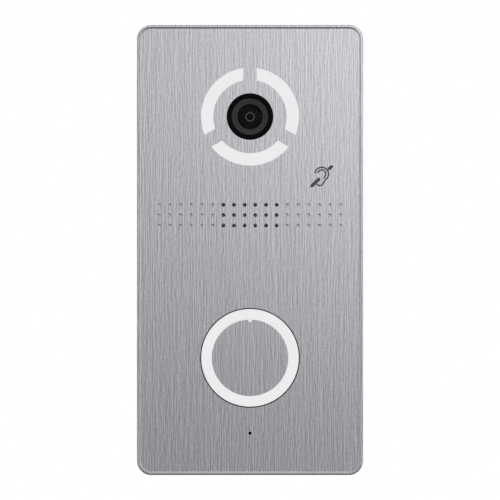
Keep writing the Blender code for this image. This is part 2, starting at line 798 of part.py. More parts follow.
def build_rear_housing():
    edge = 1.5 * MM
    layers = [
        (housing_outline(0), FLANGE_FRONT_Y + 0.5 * MM),
        (housing_outline(0), HOUSING_BACK_Y - edge),
        (housing_outline(edge), HOUSING_BACK_Y),
    ]
    housing = stack("rear_housing", layers, BLACK_PLASTIC)
    flange = rounded_outline(FLANGE_HALF_X, -FLANGE_HALF_Z, FLANGE_HALF_Z, 3 * MM)
    fuse(housing, prism("housing_flange", flange, FLANGE_FRONT_Y, FLANGE_BACK_Y))

    inner_back = HOUSING_BACK_Y - WALL
    cavity = prism("housing_cavity", housing_outline(WALL), FLANGE_FRONT_Y - PAST, inner_back)
    cut(cavity, bay_cutter("bay_walls", WALL, HOUSING_BACK_Y + 2 * PAST))
    cut(housing, cavity)
    cut(housing, bay_cutter("connection_bay", 0.0, HOUSING_BACK_Y + PAST))

    for x, z in POSTS:
        fuse(housing, board_post((x, z), inner_back))
    flange_hole = (1.5 * MM, 1.5 * MM, FLANGE_FRONT_Y - PAST, FLANGE_BACK_Y + PAST)
    cut(housing, pins("flange_hole", HOUSING_SCREWS, *flange_hole))
    through_floor = (BAY_FLOOR_Y - WALL - PAST, BAY_FLOOR_Y + PAST)
    jack_hole = box_outline(8.5 * MM, 7.2 * MM)
    cut(housing, prism("jack_opening", jack_hole, *through_floor, centre=JACK_CENTRE))
    header_hole = box_outline(17.0 * MM, 5.4 * MM)
    cut(housing, prism("header_opening", header_hole, *through_floor, centre=TERMINAL_CENTRE))
    tamper_hole = (2.9 * MM, 2.9 * MM, inner_back - PAST, HOUSING_BACK_Y + PAST, SMALL_ROUND)
    cut(housing, pins("tamper_hole", [TAMPER_CENTRE], *tamper_hole))
    label_recess = (56 * MM, 0.8 * MM, 34 * MM)
    cut(housing, brick("label_recess", label_recess, (0, HOUSING_BACK_Y, 20 * MM)))

    for number, spot in enumerate(HOUSING_SCREWS, 1):
        build_screw(
            f"housing_screw_{number}",
            spot,
            FLANGE_BACK_Y,
            -7.2 * MM,
            head_radius=2.3 * MM,
            head=1.2 * MM,
        )
    build_gasket()


def board_post(centre, rear):
    """A post for the main board, with a peg that goes through the board's hole."""
    profile = [
        (0, MAIN_BOARD_Y - 1.2 * MM),
        (1.2 * MM, MAIN_BOARD_Y - 1.2 * MM),
        (1.2 * MM, ON_BOARD_Y + 0.2 * MM),
        (2.6 * MM, ON_BOARD_Y + 0.2 * MM),
        (2.6 * MM, rear + 0.8 * MM),
        (0, rear + 0.8 * MM),
    ]
    return turned("board_post", profile, centre=centre, steps=TINY_ROUND)


def build_gasket():
    """The rubber frame that seals the housing to the tray."""
    back = FLANGE_FRONT_Y - GAP
    outer = rounded_outline(43.0 * MM, -89.6 * MM, 88.0 * MM, 5 * MM)
    inner = rounded_outline(40.2 * MM, -86.8 * MM, 85.2 * MM, 3 * MM)
    gasket = prism("housing_gasket", outer, BEHIND_FACE_Y, back, RUBBER)
    cut(gasket, prism("gasket_window", inner, BEHIND_FACE_Y - PAST, back + PAST))


# ================================================================================== electronics


def build_main_board():
    outline = rounded_outline(36 * MM, -82 * MM, 80 * MM, 3 * MM, steps=3)
    back = MAIN_BOARD_Y + BOARD
    board = prism("main_board", outline, MAIN_BOARD_Y, back, BOARD_GREEN)
    hole = (1.4 * MM, 1.4 * MM, MAIN_BOARD_Y - PAST, back + PAST)
    cut(board, pins("post_hole", POSTS, *hole))

    size = (32 * MM, 3.2 * MM, 28 * MM)
    middle = (-15 * MM, ON_BOARD_Y + size[1] / 2, 30 * MM)
    brick("processor_shield", size, middle, STEEL, bevel=0.4 * MM)
    size = (15.6 * MM, 15 * MM, 19 * MM)
    middle = (18 * MM, ON_BOARD_Y + size[1] / 2, 60 * MM)
    brick("lock_relay", size, middle, BLUE_PLASTIC, bevel=0.6 * MM)
    build_transformer()
    build_network_jack()
    build_terminals()
    build_tamper_switch()
    build_loop_coil()


def build_transformer():
    """The isolating transformer of the power supply: a ferrite frame around a wound bobbin."""
    x, z = 17 * MM, 28 * MM
    size = (22 * MM, 12 * MM, 18 * MM)
    middle_y = ON_BOARD_Y + size[1] / 2
    core = brick("power_transformer", size, (x, middle_y, z), FERRITE, bevel=0.5 * MM)
    opening = (12 * MM, size[1] * 2, 11 * MM)
    cut(core, brick("core_opening", opening, (x, middle_y + size[1] * 1.25, z)))
    bobbin = [(0, 0), (6.2 * MM, 0), (6.2 * MM, 3.6 * MM), (0, 3.6 * MM)]
    winding = [(r, middle_y + size[1] / 2 - 3.2 * MM + y) for r, y in bobbin]
    fuse(core, turned("winding", winding, centre=(x, z), steps=SMALL_ROUND))


def build_network_jack():
    """The network socket. Its mouth faces the rear; a plug's latch runs in the upper notch."""
    x, z = JACK_CENTRE
    back = 33.0 * MM
    size = (16.2 * MM, back - ON_BOARD_Y, 13.6 * MM)
    middle = (x, ON_BOARD_Y + size[1] / 2, z)
    jack = brick("network_jack", size, middle, STEEL, bevel=0.3 * MM)
    mouth = (11.8 * MM, 20.0 * MM, 7.2 * MM)
    cut(jack, brick("jack_mouth", mouth, (x, back, z - 0.6 * MM)))
    notch = (6.2 * MM, 20.0 * MM, 2.4 * MM)
    cut(jack, brick("latch_notch", notch, (x, back, z + 3.9 * MM)))


def build_terminals():
    """The wiring terminals: a header on the board and the plug that is pushed into it."""
    x, z = TERMINAL_CENTRE
    header_back = 28.5 * MM
    size = (33.2 * MM, header_back - ON_BOARD_Y, 10.0 * MM)
    middle = (x, ON_BOARD_Y + size[1] / 2, z)
    header = brick("terminal_header", size, middle, GREEN_PLASTIC)
    socket = (31.2 * MM, 16.0 * MM, 8.4 * MM)
    cut(header, brick("header_socket", socket, (x, header_back, z)))

    half_length = TERMINAL_WAYS * TERMINAL_PITCH / 2
    shoulder, back = header_back + 0.3 * MM, 36.8 * MM
    outline = box_outline(half_length, 3.9 * MM)
    plug = prism("terminal_plug", outline, 21.0 * MM, shoulder + 1 * MM, GREEN_PLASTIC, (x, z))
    body = [(half_length, 4.6 * MM), (-half_length, 4.6 * MM)]
    body += [(-half_length, -6.4 * MM), (half_length, -6.4 * MM)]
    fuse(plug, prism("plug_body", body, shoulder, back, centre=(x, z)))
    first_x = x - half_length + TERMINAL_PITCH / 2
    ways = [first_x + way * TERMINAL_PITCH for way in range(TERMINAL_WAYS)]
    screw_holes = [(way, z) for way in ways]
    screws = (1.4 * MM, 1.4 * MM, back - 0.8 * MM, back + PAST)
    cut(plug, pins("terminal_screw_hole", screw_holes, *screws))
    cut(plug, wire_entries(ways, z - 6.4 * MM, (shoulder + back) / 2 - 0.6 * MM))


def wire_entries(ways, face_z, middle_y):
    """One cutter with a square wire entry for each way, from below."""
    bm = bmesh.new()
    size = Matrix.Diagonal((2.5 * MM, 2.8 * MM, 8 * MM, 1))
    for x in ways:
        spot = Matrix.Translation((x, middle_y, face_z))
        bmesh.ops.create_cube(bm, size=1, matrix=spot @ size)
    return place("wire_entry", bm)


def build_tamper_switch():
    """The switch that opens when the panel leaves the wall, and its sprung plunger."""
    x, z = TAMPER_CENTRE
    body_back = 27.0 * MM
    size = (8 * MM, body_back - ON_BOARD_Y, 8 * MM)
    middle = (x, ON_BOARD_Y + size[1] / 2, z)
    body = brick("tamper_switch", size, middle, BLACK_PLASTIC, bevel=0.4 * MM)
    bore = (1.8 * MM, 1.8 * MM, 21.5 * MM, body_back + PAST, SMALL_ROUND)
    cut(body, pins("tamper_bore", [TAMPER_CENTRE], *bore))
    collar_front, collar_back = 33.4 * MM, 35.2 * MM
    tip = HOUSING_BACK_Y + 2.0 * MM
    profile = [
        (0, 24.5 * MM),
        (1.5 * MM, 24.5 * MM),
        (1.5 * MM, collar_front),
        (3.8 * MM, collar_front),
        (3.8 * MM, collar_back),
        (2.6 * MM, collar_back),
        (2.6 * MM, tip - 0.6 * MM),
        (2.0 * MM, tip),
        (0, tip),
    ]
    turned("tamper_plunger", profile, RED_PLASTIC, TAMPER_CENTRE, SMALL_ROUND)


def build_loop_coil():
    """The flat copper coil that couples to hearing aids, wound around the housing's inside."""
    front, back = 6.0 * MM, 9.0 * MM
    outer = rounded_outline(38.4 * MM, -84.0 * MM, 82.0 * MM, 8 * MM)
    inner = rounded_outline(36.0 * MM, -81.6 * MM, 79.6 * MM, 5.6 * MM)
    coil = prism("hearing_loop_coil", outer, front, back, COPPER)
    cut(coil, prism("coil_window", inner, front - PAST, back + PAST))


# ================================================================================== bracket


def build_bracket():
    """Steel frame for the wall. Tongues on its upper lug hold the tray; its lower lugs are tapped."""
    outline = rounded_outline(BRACKET_HALF_X, -BRACKET_HALF_Z, BRACKET_HALF_Z, 3 * MM)
    bracket = prism("mounting_bracket", outline, -BRACKET_SHEET, 0.0, ZINC)
    window = rounded_outline(WINDOW_HALF_X, WINDOW_BOTTOM_Z, WINDOW_TOP_Z, 4.4 * MM, steps=4)
    through = (-BRACKET_SHEET - PAST, PAST)
    cut(bracket, prism("housing_window", window, *through))
    for x in (-WALL_SLOT_X, WALL_SLOT_X):
        for z in (UPPER_BAR_Z, (WINDOW_BOTTOM_Z - BRACKET_HALF_Z) / 2):
            slot = slot_outline(4.6 * MM, 1.95 * MM)
            cut(bracket, prism("wall_screw_slot", slot, *through, centre=(x, z)))

    lug_front = -4.6 * MM
    depth = abs(lug_front) - 0.2 * MM
    middle_y = lug_front + depth / 2
    upper = brick("upper_lug", (64 * MM, depth, BRACKET_SHEET), (0, middle_y, LUG_Z))
    fuse(bracket, upper)
    for x, _ in both_sides(TONGUE_X):
        tongue = (8 * MM, 1.7 * MM, 3.2 * MM)
        middle = (x, TONGUE_Y, BRACKET_HALF_Z + 0.7 * MM)
        fuse(bracket, brick("tongue", tongue, middle))
    for x, _ in both_sides(SECURITY_SCREW_X):
        lug = brick("lower_lug", (16 * MM, depth, BRACKET_SHEET), (x, middle_y, -LUG_Z))
        fuse(bracket, lug)
        low, high = -BRACKET_HALF_Z - PAST, -BRACKET_HALF_Z + BRACKET_SHEET + PAST
        tapped = upright_pin("lug_thread", 1.35 * MM, low, high, x, SECURITY_SCREW_Y)
        cut(bracket, tapped)
    build_security_screws()


def build_security_screws():
    """Flat-headed screws that go up through the lower skirt into the bracket's lugs."""
    head_low = -PANEL_HEIGHT / 2 + 0.15 * MM
    head_high = head_low + 1.0 * MM
    tip = -FLANGE_HALF_Z - 0.25 * MM
    for number, (x, _) in enumerate(both_sides(SECURITY_SCREW_X), 1):
        profile = [
            (0, head_low),
            (2.5 * MM, head_low),
            (2.7 * MM, head_low + 0.2 * MM),
            (2.7 * MM, head_high),
            (1.2 * MM, head_high),
            (1.2 * MM, tip - 0.3 * MM),
            (0.9 * MM, tip),
            (0, tip),
        ]
        screw = turned(f"security_screw_{number}", profile, STEEL, steps=TINY_ROUND)
        screw.rotation_euler = (math.radians(90), 0, 0)
        screw.location = (x, SECURITY_SCREW_Y, 0)
        recess = upright_pin(
            "hex_recess", 1.1 * MM, head_low - PAST, head_low + 0.6 * MM, x, SECURITY_SCREW_Y, 6
        )
        cut(screw, recess)


# ================================================================================== build

clear_scene()

ALUMINIUM = make_material("brushed_aluminium", (0.45, 0.46, 0.48), 0.35, 1.0)
WHITE = make_material("white_light_guide", (0.83, 0.83, 0.83), 0.4)
BLACK_PLASTIC = make_material("black_plastic", (0.012, 0.012, 0.013), 0.5)
DARK_PLASTIC = make_material("dark_grey_plastic", (0.03, 0.03, 0.03), 0.6)
BLACK_METAL = make_material("black_anodised_metal", (0.01, 0.01, 0.01), 0.45, 0.6)
GLASS = make_material("lens_glass", (0.01, 0.01, 0.015), 0.05)
RUBBER = make_material("black_rubber", (0.02, 0.02, 0.02), 0.8)
STEEL = make_material("bright_steel", (0.55, 0.55, 0.56), 0.3, 1.0)
ZINC = make_material("zinc_plated_steel", (0.5, 0.52, 0.54), 0.4, 1.0)
COPPER = make_material("copper_wire", (0.6, 0.25, 0.12), 0.35, 1.0)
MESH_BLACK = make_material("acoustic_mesh", (0.015, 0.015, 0.015), 0.9)
PAPER_CONE = make_material("speaker_cone", (0.04, 0.04, 0.045), 0.8)
BOARD_GREEN = make_material("circuit_board", (0.02, 0.12, 0.05), 0.4)
GREEN_PLASTIC = make_material("green_plastic", (0.05, 0.35, 0.12), 0.45)
BLUE_PLASTIC = make_material("blue_plastic", (0.03, 0.1, 0.35), 0.4)
RED_PLASTIC = make_material("red_plastic", (0.5, 0.03, 0.02), 0.4)
FERRITE = make_material("ferrite", (0.05, 0.05, 0.055), 0.6)
SILICON = make_material("sensor_glass", (0.05, 0.06, 0.1), 0.15)
LED_WHITE = make_material("led_package", (0.8, 0.78, 0.6), 0.4)
RIBBON = make_material("ribbon_cable", (0.6, 0.32, 0.06), 0.4)

ASSEMBLY = bpy.data.objects.new("assembly", None)
bpy.context.scene.collection.objects.link(ASSEMBLY)
ASSEMBLY.location = Vector((0, 0, -UPPER_BAR_Z))

build_front_panel()
build_camera()
build_speaker()
build_microphone()
build_button()
build_rear_housing()
build_main_board()
build_bracket()
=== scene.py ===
"""Looks of the door intercom panel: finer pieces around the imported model, materials, lights and
a camera. Units are metres, the front faces -Y, and z = 0 is the middle of the bracket's upper
bar."""

from math import asin, atan2, cos, degrees, pi, radians, sin, tau

import bmesh
import bpy
from mathutils import Matrix, Vector


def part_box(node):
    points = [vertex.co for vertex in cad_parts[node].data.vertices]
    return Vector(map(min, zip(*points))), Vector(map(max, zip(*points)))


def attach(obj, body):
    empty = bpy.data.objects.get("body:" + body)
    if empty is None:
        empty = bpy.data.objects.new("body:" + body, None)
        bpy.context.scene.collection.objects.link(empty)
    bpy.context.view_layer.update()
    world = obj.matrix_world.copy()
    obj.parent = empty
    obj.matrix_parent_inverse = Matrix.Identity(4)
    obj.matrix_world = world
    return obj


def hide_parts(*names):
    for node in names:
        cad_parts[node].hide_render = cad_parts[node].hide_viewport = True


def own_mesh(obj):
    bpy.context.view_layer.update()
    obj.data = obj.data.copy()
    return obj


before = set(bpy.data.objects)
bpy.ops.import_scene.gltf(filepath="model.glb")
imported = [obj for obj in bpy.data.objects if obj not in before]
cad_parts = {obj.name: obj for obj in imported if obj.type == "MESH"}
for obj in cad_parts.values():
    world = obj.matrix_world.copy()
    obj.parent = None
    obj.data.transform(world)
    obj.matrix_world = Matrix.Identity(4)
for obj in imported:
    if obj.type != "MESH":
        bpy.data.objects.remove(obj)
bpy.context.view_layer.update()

MM = 0.001
SMOOTH = 128  # sides of the large round pieces that show
FINE = 64
SMALL = 32
SHARP_ANGLE = radians(32)

PANEL_LOW, PANEL_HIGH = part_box("front_panel")
PANEL_Z = (PANEL_LOW.z + PANEL_HIGH.z) / 2
HALF_X = (PANEL_HIGH.x - PANEL_LOW.x) / 2
HALF_Z = (PANEL_HIGH.z - PANEL_LOW.z) / 2
CREST_Y = PANEL_LOW.y  # front of the raised rim
FACE_Y = CREST_Y + 0.5 * MM
FACE_BACK_Y = FACE_Y + 2.0 * MM
GAP = 0.05 * MM  # between pieces that touch
PAST = 1.0 * MM  # how far a tool runs past what it cuts


# ---- mesh tools


def middle_of(node):
    """(x, z) of the middle of a node."""
    low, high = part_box(node)
    return ((low.x + high.x) / 2, (low.z + high.z) / 2)


def place(name, bm, material=None, body=None, slot=None, *nodes):
    """Makes a mesh piece of a bmesh, shaded smooth up to its sharp edges. A piece that isn't a
    tool rides on a body and may replace nodes; the slot argument is not used."""
    bmesh.ops.recalc_face_normals(bm, faces=bm.faces)
    mesh = bpy.data.meshes.new(name)
    bm.to_mesh(mesh)
    bm.free()
    piece = bpy.data.objects.new(name, mesh)
    bpy.context.scene.collection.objects.link(piece)
    soften(piece)
    if material:
        mesh.materials.append(material)
    if body:
        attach(piece, body)
    if nodes:
        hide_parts(*nodes)
    return piece


def soften(piece):
    piece.data.shade_smooth()
    piece.data.set_sharp_from_angle(angle=SHARP_ANGLE)


def carve(piece, operation, tools):
    """Applies the tools to the piece, and removes them."""
    for tool in tools:
        modifier = piece.modifiers.new(tool.name, "BOOLEAN")
        modifier.operation = operation
        modifier.object = tool
    graph = bpy.context.evaluated_depsgraph_get()
    mesh = bpy.data.meshes.new_from_object(piece.evaluated_get(graph))
    piece.modifiers.clear()
    piece.data = mesh
    soften(piece)
    for tool in tools:
        bpy.data.objects.remove(tool)


def cut(piece, *tools):
    carve(piece, "DIFFERENCE", tools)


def join(piece, *tools):
    carve(piece, "UNION", tools)


def round_edges(piece, width):
    """Rounds the piece's sharp edges."""
    modifier = piece.modifiers.new("rounded", "BEVEL")
    modifier.width = width
    modifier.segments = 2
    modifier.limit_method = "ANGLE"
    modifier.angle_limit = radians(40)
    modifier.harden_normals = True


def add_turned(bm, profile, centre=(0, 0), steps=SMOOTH):
    """A solid turned about the line along Y through centre (x, z). profile holds (radius, y)
    points: a closed loop, or a line from the axis to the axis."""
    rings = []
    for radius, y in profile:
        points = arc(centre, radius, 0, 360, steps)[:steps if radius > 0 else 1]
        rings.append([bm.verts.new((x, y, z)) for x, z in points])
    pairs = list(zip(rings, rings[1:]))
    if profile[0][0] > 0:
        pairs.append((rings[-1], rings[0]))
    for first, second in pairs:
        for side in range(steps):
            after = (side + 1) % steps
            corners = (
                first[side % len(first)],
                first[after % len(first)],
                second[after % len(second)],
                second[side % len(second)],
            )
            bm.faces.new(dict.fromkeys(corners))


def turned_many(name, profile, centres, steps=SMOOTH, material=None, riding=()):
    """One piece, or one tool, made of the same turned solid at each centre. riding holds the
    piece's body, slot and replaced nodes, here and below."""
    bm = bmesh.new()
    for centre in centres:
        add_turned(bm, profile, centre, steps)
    return place(name, bm, material, *riding)


def turned(name, profile, material, centre, steps=SMOOTH, riding=()):
    return turned_many(name, profile, [centre], steps, material, riding)


def bridge(bm, loops):
    """Joins each loop of vertices to the next, and closes the first and the last."""
    for first, second in zip(loops, loops[1:]):
        for side in range(len(first)):
            after = (side + 1) % len(first)
            bm.faces.new((first[side], first[after], second[after], second[side]))
    bm.faces.new(loops[0])
    bm.faces.new(loops[-1])


def add_stack(bm, layers):
    """A solid through outlines of the same number of (x, z) points that lie at different y."""
    bridge(bm, [[bm.verts.new((x, y, z)) for x, z in outline] for outline, y in layers])


def stack(name, layers, material=None, riding=()):
    bm = bmesh.new()
    add_stack(bm, layers)
    return place(name, bm, material, *riding)


def prism(name, outline, front, back, material=None, riding=()):
    return stack(name, [(outline, front), (outline, back)], material, riding)


def across(x, half_x, y, z):
    """A box's (low corner, high corner) from its middle and half width along X and its two ends
    along Y and Z."""
    return ((x - half_x, y[0], z[0]), (x + half_x, y[1], z[1]))


def bricks(name, boxes, material=None, riding=()):
    """One piece, or one tool, made of boxes given as (low corner, high corner)."""
    bm = bmesh.new()
    for low, high in boxes:
        size = Vector(high) - Vector(low)
        middle = (Vector(high) + Vector(low)) / 2
        matrix = Matrix.Translation(middle) @ Matrix.Diagonal((*size, 1))
        bmesh.ops.create_cube(bm, size=1, matrix=matrix)
    return place(name, bm, material, *riding)


def arc(centre, radius, start, end, steps):
    """Points of an arc between two angles in degrees."""
    points = []
    for step in range(steps + 1):
        angle = radians(start + (end - start) * step / steps)
        points.append((centre[0] + radius * cos(angle), centre[1] + radius * sin(angle)))
    return points


def rounded_outline(low, high, radius, steps=12):
    """(x, z) points of a rectangle with round corners, between the corners low and high."""
    left, right = low[0] + radius, high[0] - radius
    bottom, top = low[1] + radius, high[1] - radius
    corners = [(right, top), (left, top), (left, bottom), (right, bottom)]
    points = []
    for quarter, corner in enumerate(corners):
        points += arc(corner, radius, 90 * quarter, 90 * quarter + 90, steps)
    return points


def centred_outline(half_x, half_z, radius, centre=(0, 0), steps=12):
    low = (centre[0] - half_x, centre[1] - half_z)
    high = (centre[0] + half_x, centre[1] + half_z)
    return rounded_outline(low, high, radius, steps)


def ring_profile(inner, outer, front, back):
    return [(inner, front), (outer, front), (outer, back), (inner, back)]


def disc_profile(radius, front, back, edge):
    """A disc whose front edge is chamfered."""
    return [(0, front), (radius - edge, front), (radius, front + edge), (radius, back), (0, back)]


# ---- materials

WAVES_PER_SCALE = 20  # a wave texture repeats this often over 1 / scale


def set_values(node, values):
    """Sets sockets by name. A _ stands for the space in a socket's name."""
    for socket, value in values.items():
        node.inputs[socket.replace("_", " ")].default_value = value
    return node


def add_node(tree, kind, **values):
    return set_values(tree.nodes.new("ShaderNode" + kind), values)


def set_stops(ramp, stops):
    """Gives a colour ramp its (position, colour) stops."""
    elements = ramp.color_ramp.elements
    while len(elements) < len(stops):
        elements.new(0.5)
    for element, (position, color) in zip(elements, stops):
        element.position = position
        element.color = (*color, 1)


class Surface:
    """A Principled material and the nodes that feed it."""

    def __init__(self, name, roughness=0.5, metallic=0.0, **sockets):
        self.material = bpy.data.materials.new(name)
        self.material.use_nodes = True
        self.tree = self.material.node_tree
        self.link = self.tree.links.new
        self.shader = self.tree.nodes["Principled BSDF"]
        set_values(self.shader, {"Roughness": roughness, "Metallic": metallic, **sockets})

    def texture(self, kind, stretch=(1, 1, 1), shift=(0, 0, 0), **values):
        """A texture on the piece's own coordinates in metres, times stretch."""
        source = add_node(self.tree, "TexCoord")
        mapping = add_node(self.tree, "Mapping", Scale=stretch, Location=shift)
        node = add_node(self.tree, kind, **values)
        self.link(source.outputs["Object"], mapping.inputs["Vector"])
        self.link(mapping.outputs["Vector"], node.inputs["Vector"])
        return node

    def noise(self, scale, detail=2.0, roughness=0.5, stretch=(1, 1, 1), shift=(0, 0, 0)):
        values = {"Scale": scale, "Detail": detail, "Roughness": roughness}
        return self.texture("TexNoise", stretch, shift, **values).outputs["Fac"]

    def scratches(self, scale, slimness, width):
        """Lines along Z. Taking away the same noise one width aside leaves no broad bands."""
        stretch = (1, 1, slimness)
        here = self.noise(scale, 0.0, 0.5, stretch)
        beside = self.noise(scale, 0.0, 0.5, stretch, (width, 0, 0))
        return self.combine(self.combine(here, beside, "SUBTRACT"), 0.5, "ADD")

    def wave(self, pitch, kind, direction):
        """Bands across a direction, or rings about it, at a pitch in metres."""
        node = self.texture("TexWave", Scale=1 / pitch / WAVES_PER_SCALE)
        node.wave_type = kind
        node.bands_direction = node.rings_direction = direction
        return node.outputs["Fac"]

    def cells(self, scale, feature="F1"):
        node = self.texture("TexVoronoi", Scale=scale)
        node.feature = feature
        return node.outputs["Distance"]

    def combine(self, first, second, operation="MULTIPLY"):
        """A sum, product and so on of first and second, which may be a number."""
        node = add_node(self.tree, "Math")
        node.operation = operation
        self.link(first, node.inputs[0])
        if isinstance(second, float):
            node.inputs[1].default_value = second
        else:
            self.link(second, node.inputs[1])
        return node.outputs["Value"]

    def blend(self, first, second, share):
        """first and second mixed, share of the second."""
        node = add_node(self.tree, "Mix", Factor=share)
        self.link(first, node.inputs["A"])
        self.link(second, node.inputs["B"])
        return node.outputs["Result"]

    def ramp(self, value, stops):
        """Colours along a value."""
        node = add_node(self.tree, "ValToRGB")
        set_stops(node, stops)
        self.link(value, node.inputs["Fac"])
        return node.outputs["Color"]

    def color(self, value, *stops):
        self.link(self.ramp(value, stops), self.shader.inputs["Base Color"])

    def rough(self, value, low, high):
        node = add_node(self.tree, "MapRange", To_Min=low, To_Max=high)
        self.link(value, node.inputs["Value"])
        self.link(node.outputs["Result"], self.shader.inputs["Roughness"])

    def bump(self, height, depth, strength=1.0):
        node = add_node(self.tree, "Bump", Strength=strength, Distance=depth)
        self.link(height, node.inputs["Height"])
        self.link(node.outputs["Normal"], self.shader.inputs["Normal"])


def grey(level):
    return (level, level, level)


def cool(level):
    """A grey with the slight blue of aluminium."""
    return (level * 0.985, level * 0.995, level * 1.04)


def grained(name, noise, colors, roughness, spread=None, relief=None, metallic=0.0, **sockets):
    """A surface whose colour, roughness and relief follow one noise. spread is the lowest and the
    highest roughness, and relief is the bump's depth and strength."""
    surface = Surface(name, roughness, metallic, **sockets)
    grain = surface.noise(*noise)
    surface.color(grain, *colors)
    if spread:
        surface.rough(grain, *spread)
    if relief:
        surface.bump(grain, *relief)
    return surface.material


def speckled(name, low, high, roughness, scale=2600):
    spread = (roughness * 0.8, min(1.0, roughness * 1.2))
    colors = [(0.35, low), (0.65, high)]
    return grained(name, (scale, 4.0, 0.7), colors, roughness, spread, (0.01 * MM, 0.4))


def lens_glass(name, clear):
    """Thin glass with an antireflection coating, which lets through the share clear."""
    coating = [(0.3, (0.002, 0.002, 0.004)), (0.7, (0.004, 0.002, 0.004))]
    return grained(name, (60, 1.0), coating, 0.02, Alpha=1 - clear, IOR=1.3)


def brushed(name, dark, light, roughness=0.3):
    """Metal brushed up and down: short and long scratches, a few specks and faint wide streaks."""
    surface = Surface(name, roughness, 1.0, Anisotropic=0.55)
    width = 0.45 * MM
    speckle = surface.noise(2300, 0.0, 0.5, (1, 1, 0.5))
    short = surface.scratches(1900, 0.1, width)
    long = surface.scratches(2100, 0.02, width)
    wide = surface.noise(300, 1.0, 0.5, (1, 1, 0.03))
    grain = surface.blend(surface.blend(short, long, 0.55), speckle, 0.25)
    streaks = surface.blend(grain, wide, 0.05)
    surface.color(streaks, (0.34, cool(dark)), (0.66, cool(light)))
    surface.rough(grain, roughness * 0.8, roughness * 1.25)
    surface.bump(grain, 0.004 * MM, 0.5)
    return surface.material


def moulded(name, color, roughness=0.5, grain=0.02 * MM, specular=0.5):
    """Moulded plastic with a fine spark-eroded grain."""
    surface = Surface(name, roughness, Specular_IOR_Level=specular)
    cloud = surface.noise(60, 3.0)
    pores = surface.noise(5200, 2.0, 0.6)
    shade = tuple(level * 0.86 for level in color)
    tint = tuple(min(1.0, level * 1.12 + 0.001) for level in color)
    surface.color(cloud, (0.3, shade), (0.7, tint))
    surface.rough(pores, roughness * 0.85, min(1.0, roughness * 1.2))
    surface.bump(pores, grain, 0.6)
    return surface.material


def white_diffuser():
    surface = Surface(
        "white_diffuser", 0.42, Specular_IOR_Level=0.3,
        Emission_Color=(1, 1, 1, 1), Emission_Strength=0.3,
    )
    cloud = surface.noise(90, 3.0)
    pores = surface.noise(3000, 2.0)
    surface.color(cloud, (0.3, grey(0.85)), (0.7, (0.87, 0.87, 0.865)))
    surface.rough(pores, 0.38, 0.48)
    surface.bump(pores, 0.004 * MM, 0.4)
    return surface.material


def turned_black(name, color, roughness, specular, pitch):
    """Black plastic with faint rings from turning. The wave's rings run about the Y axis."""
    surface = Surface(name, roughness, Specular_IOR_Level=specular)
    rings = surface.wave(pitch, "RINGS", "Y")
    dust = surface.noise(1400, 3.0)
    surface.color(dust, (0.3, tuple(c * 0.85 for c in color)), (0.7, color))
    surface.rough(dust, roughness * 0.9, roughness * 1.15)
    surface.bump(rings, 0.004 * MM, 0.4)
    return surface.material


def zinc():
    """Zinc plated sheet: soft spangles with a faint blue and yellow passivation."""
    surface = Surface("zinc_plating", 0.4, 1.0)
    spangle = surface.cells(420)
    haze = surface.noise(55, 4.0, 0.6)
    mixed = surface.blend(spangle, haze, 0.6)
    surface.color(
        mixed, (0.2, (0.44, 0.47, 0.5)), (0.45, (0.56, 0.58, 0.58)), (0.7, (0.62, 0.61, 0.54))
    )
    surface.rough(mixed, 0.3, 0.5)
    surface.bump(haze, 0.02 * MM, 0.3)
    return surface.material


def banded(name, pitch, direction, colors, relief, metallic=0.0, **sockets):
    """Wires or strips side by side: turns of a coil, or leads of a flat cable."""
    surface = Surface(name, 0.3, metallic, **sockets)
    bands = surface.wave(pitch, "BANDS", direction)
    surface.color(bands, *colors)
    surface.bump(bands, *relief)
    return surface.material


def woven_mesh():
    surface = Surface("woven_mesh", 0.85, Specular_IOR_Level=0.1)
    pitch = 0.3 * MM
    weave = surface.combine(surface.wave(pitch, "BANDS", "X"), surface.wave(pitch, "BANDS", "Z"))
    surface.color(weave, (0.05, grey(0.12)), (0.5, grey(0.5)))
    surface.bump(weave, 0.05 * MM, 0.8)
    return surface.material


def pressed_paper():
    surface = Surface("pressed_paper", 0.85)
    fibre = surface.noise(1800, 4.0, 0.7)
    ribs = surface.wave(1.6 * MM, "RINGS", "Y")
    surface.color(fibre, (0.3, grey(0.025)), (0.75, grey(0.06)))
    surface.bump(surface.combine(fibre, ribs, "ADD"), 0.03 * MM, 0.6)
    return surface.material


def solder_mask():
    """Green board: a faint net of tracks under the mask and tinned dots."""
    surface = Surface("solder_mask", 0.3, Coat_Weight=0.3)
    tracks = surface.cells(180, "DISTANCE_TO_EDGE")
    vias = surface.cells(320)
    net = surface.ramp(tracks, [(0.03, grey(1.0)), (0.06, grey(0.0))])
    dots = surface.ramp(vias, [(0.06, grey(1.0)), (0.08, grey(0.0))])
    both = surface.combine(surface.combine(net, 0.45), dots, "MAXIMUM")
    surface.color(
        both, (0.0, (0.006, 0.07, 0.03)), (0.45, (0.02, 0.15, 0.06)), (0.9, (0.5, 0.48, 0.38))
    )
    surface.bump(net, 0.02 * MM, 0.5)
    return surface.material


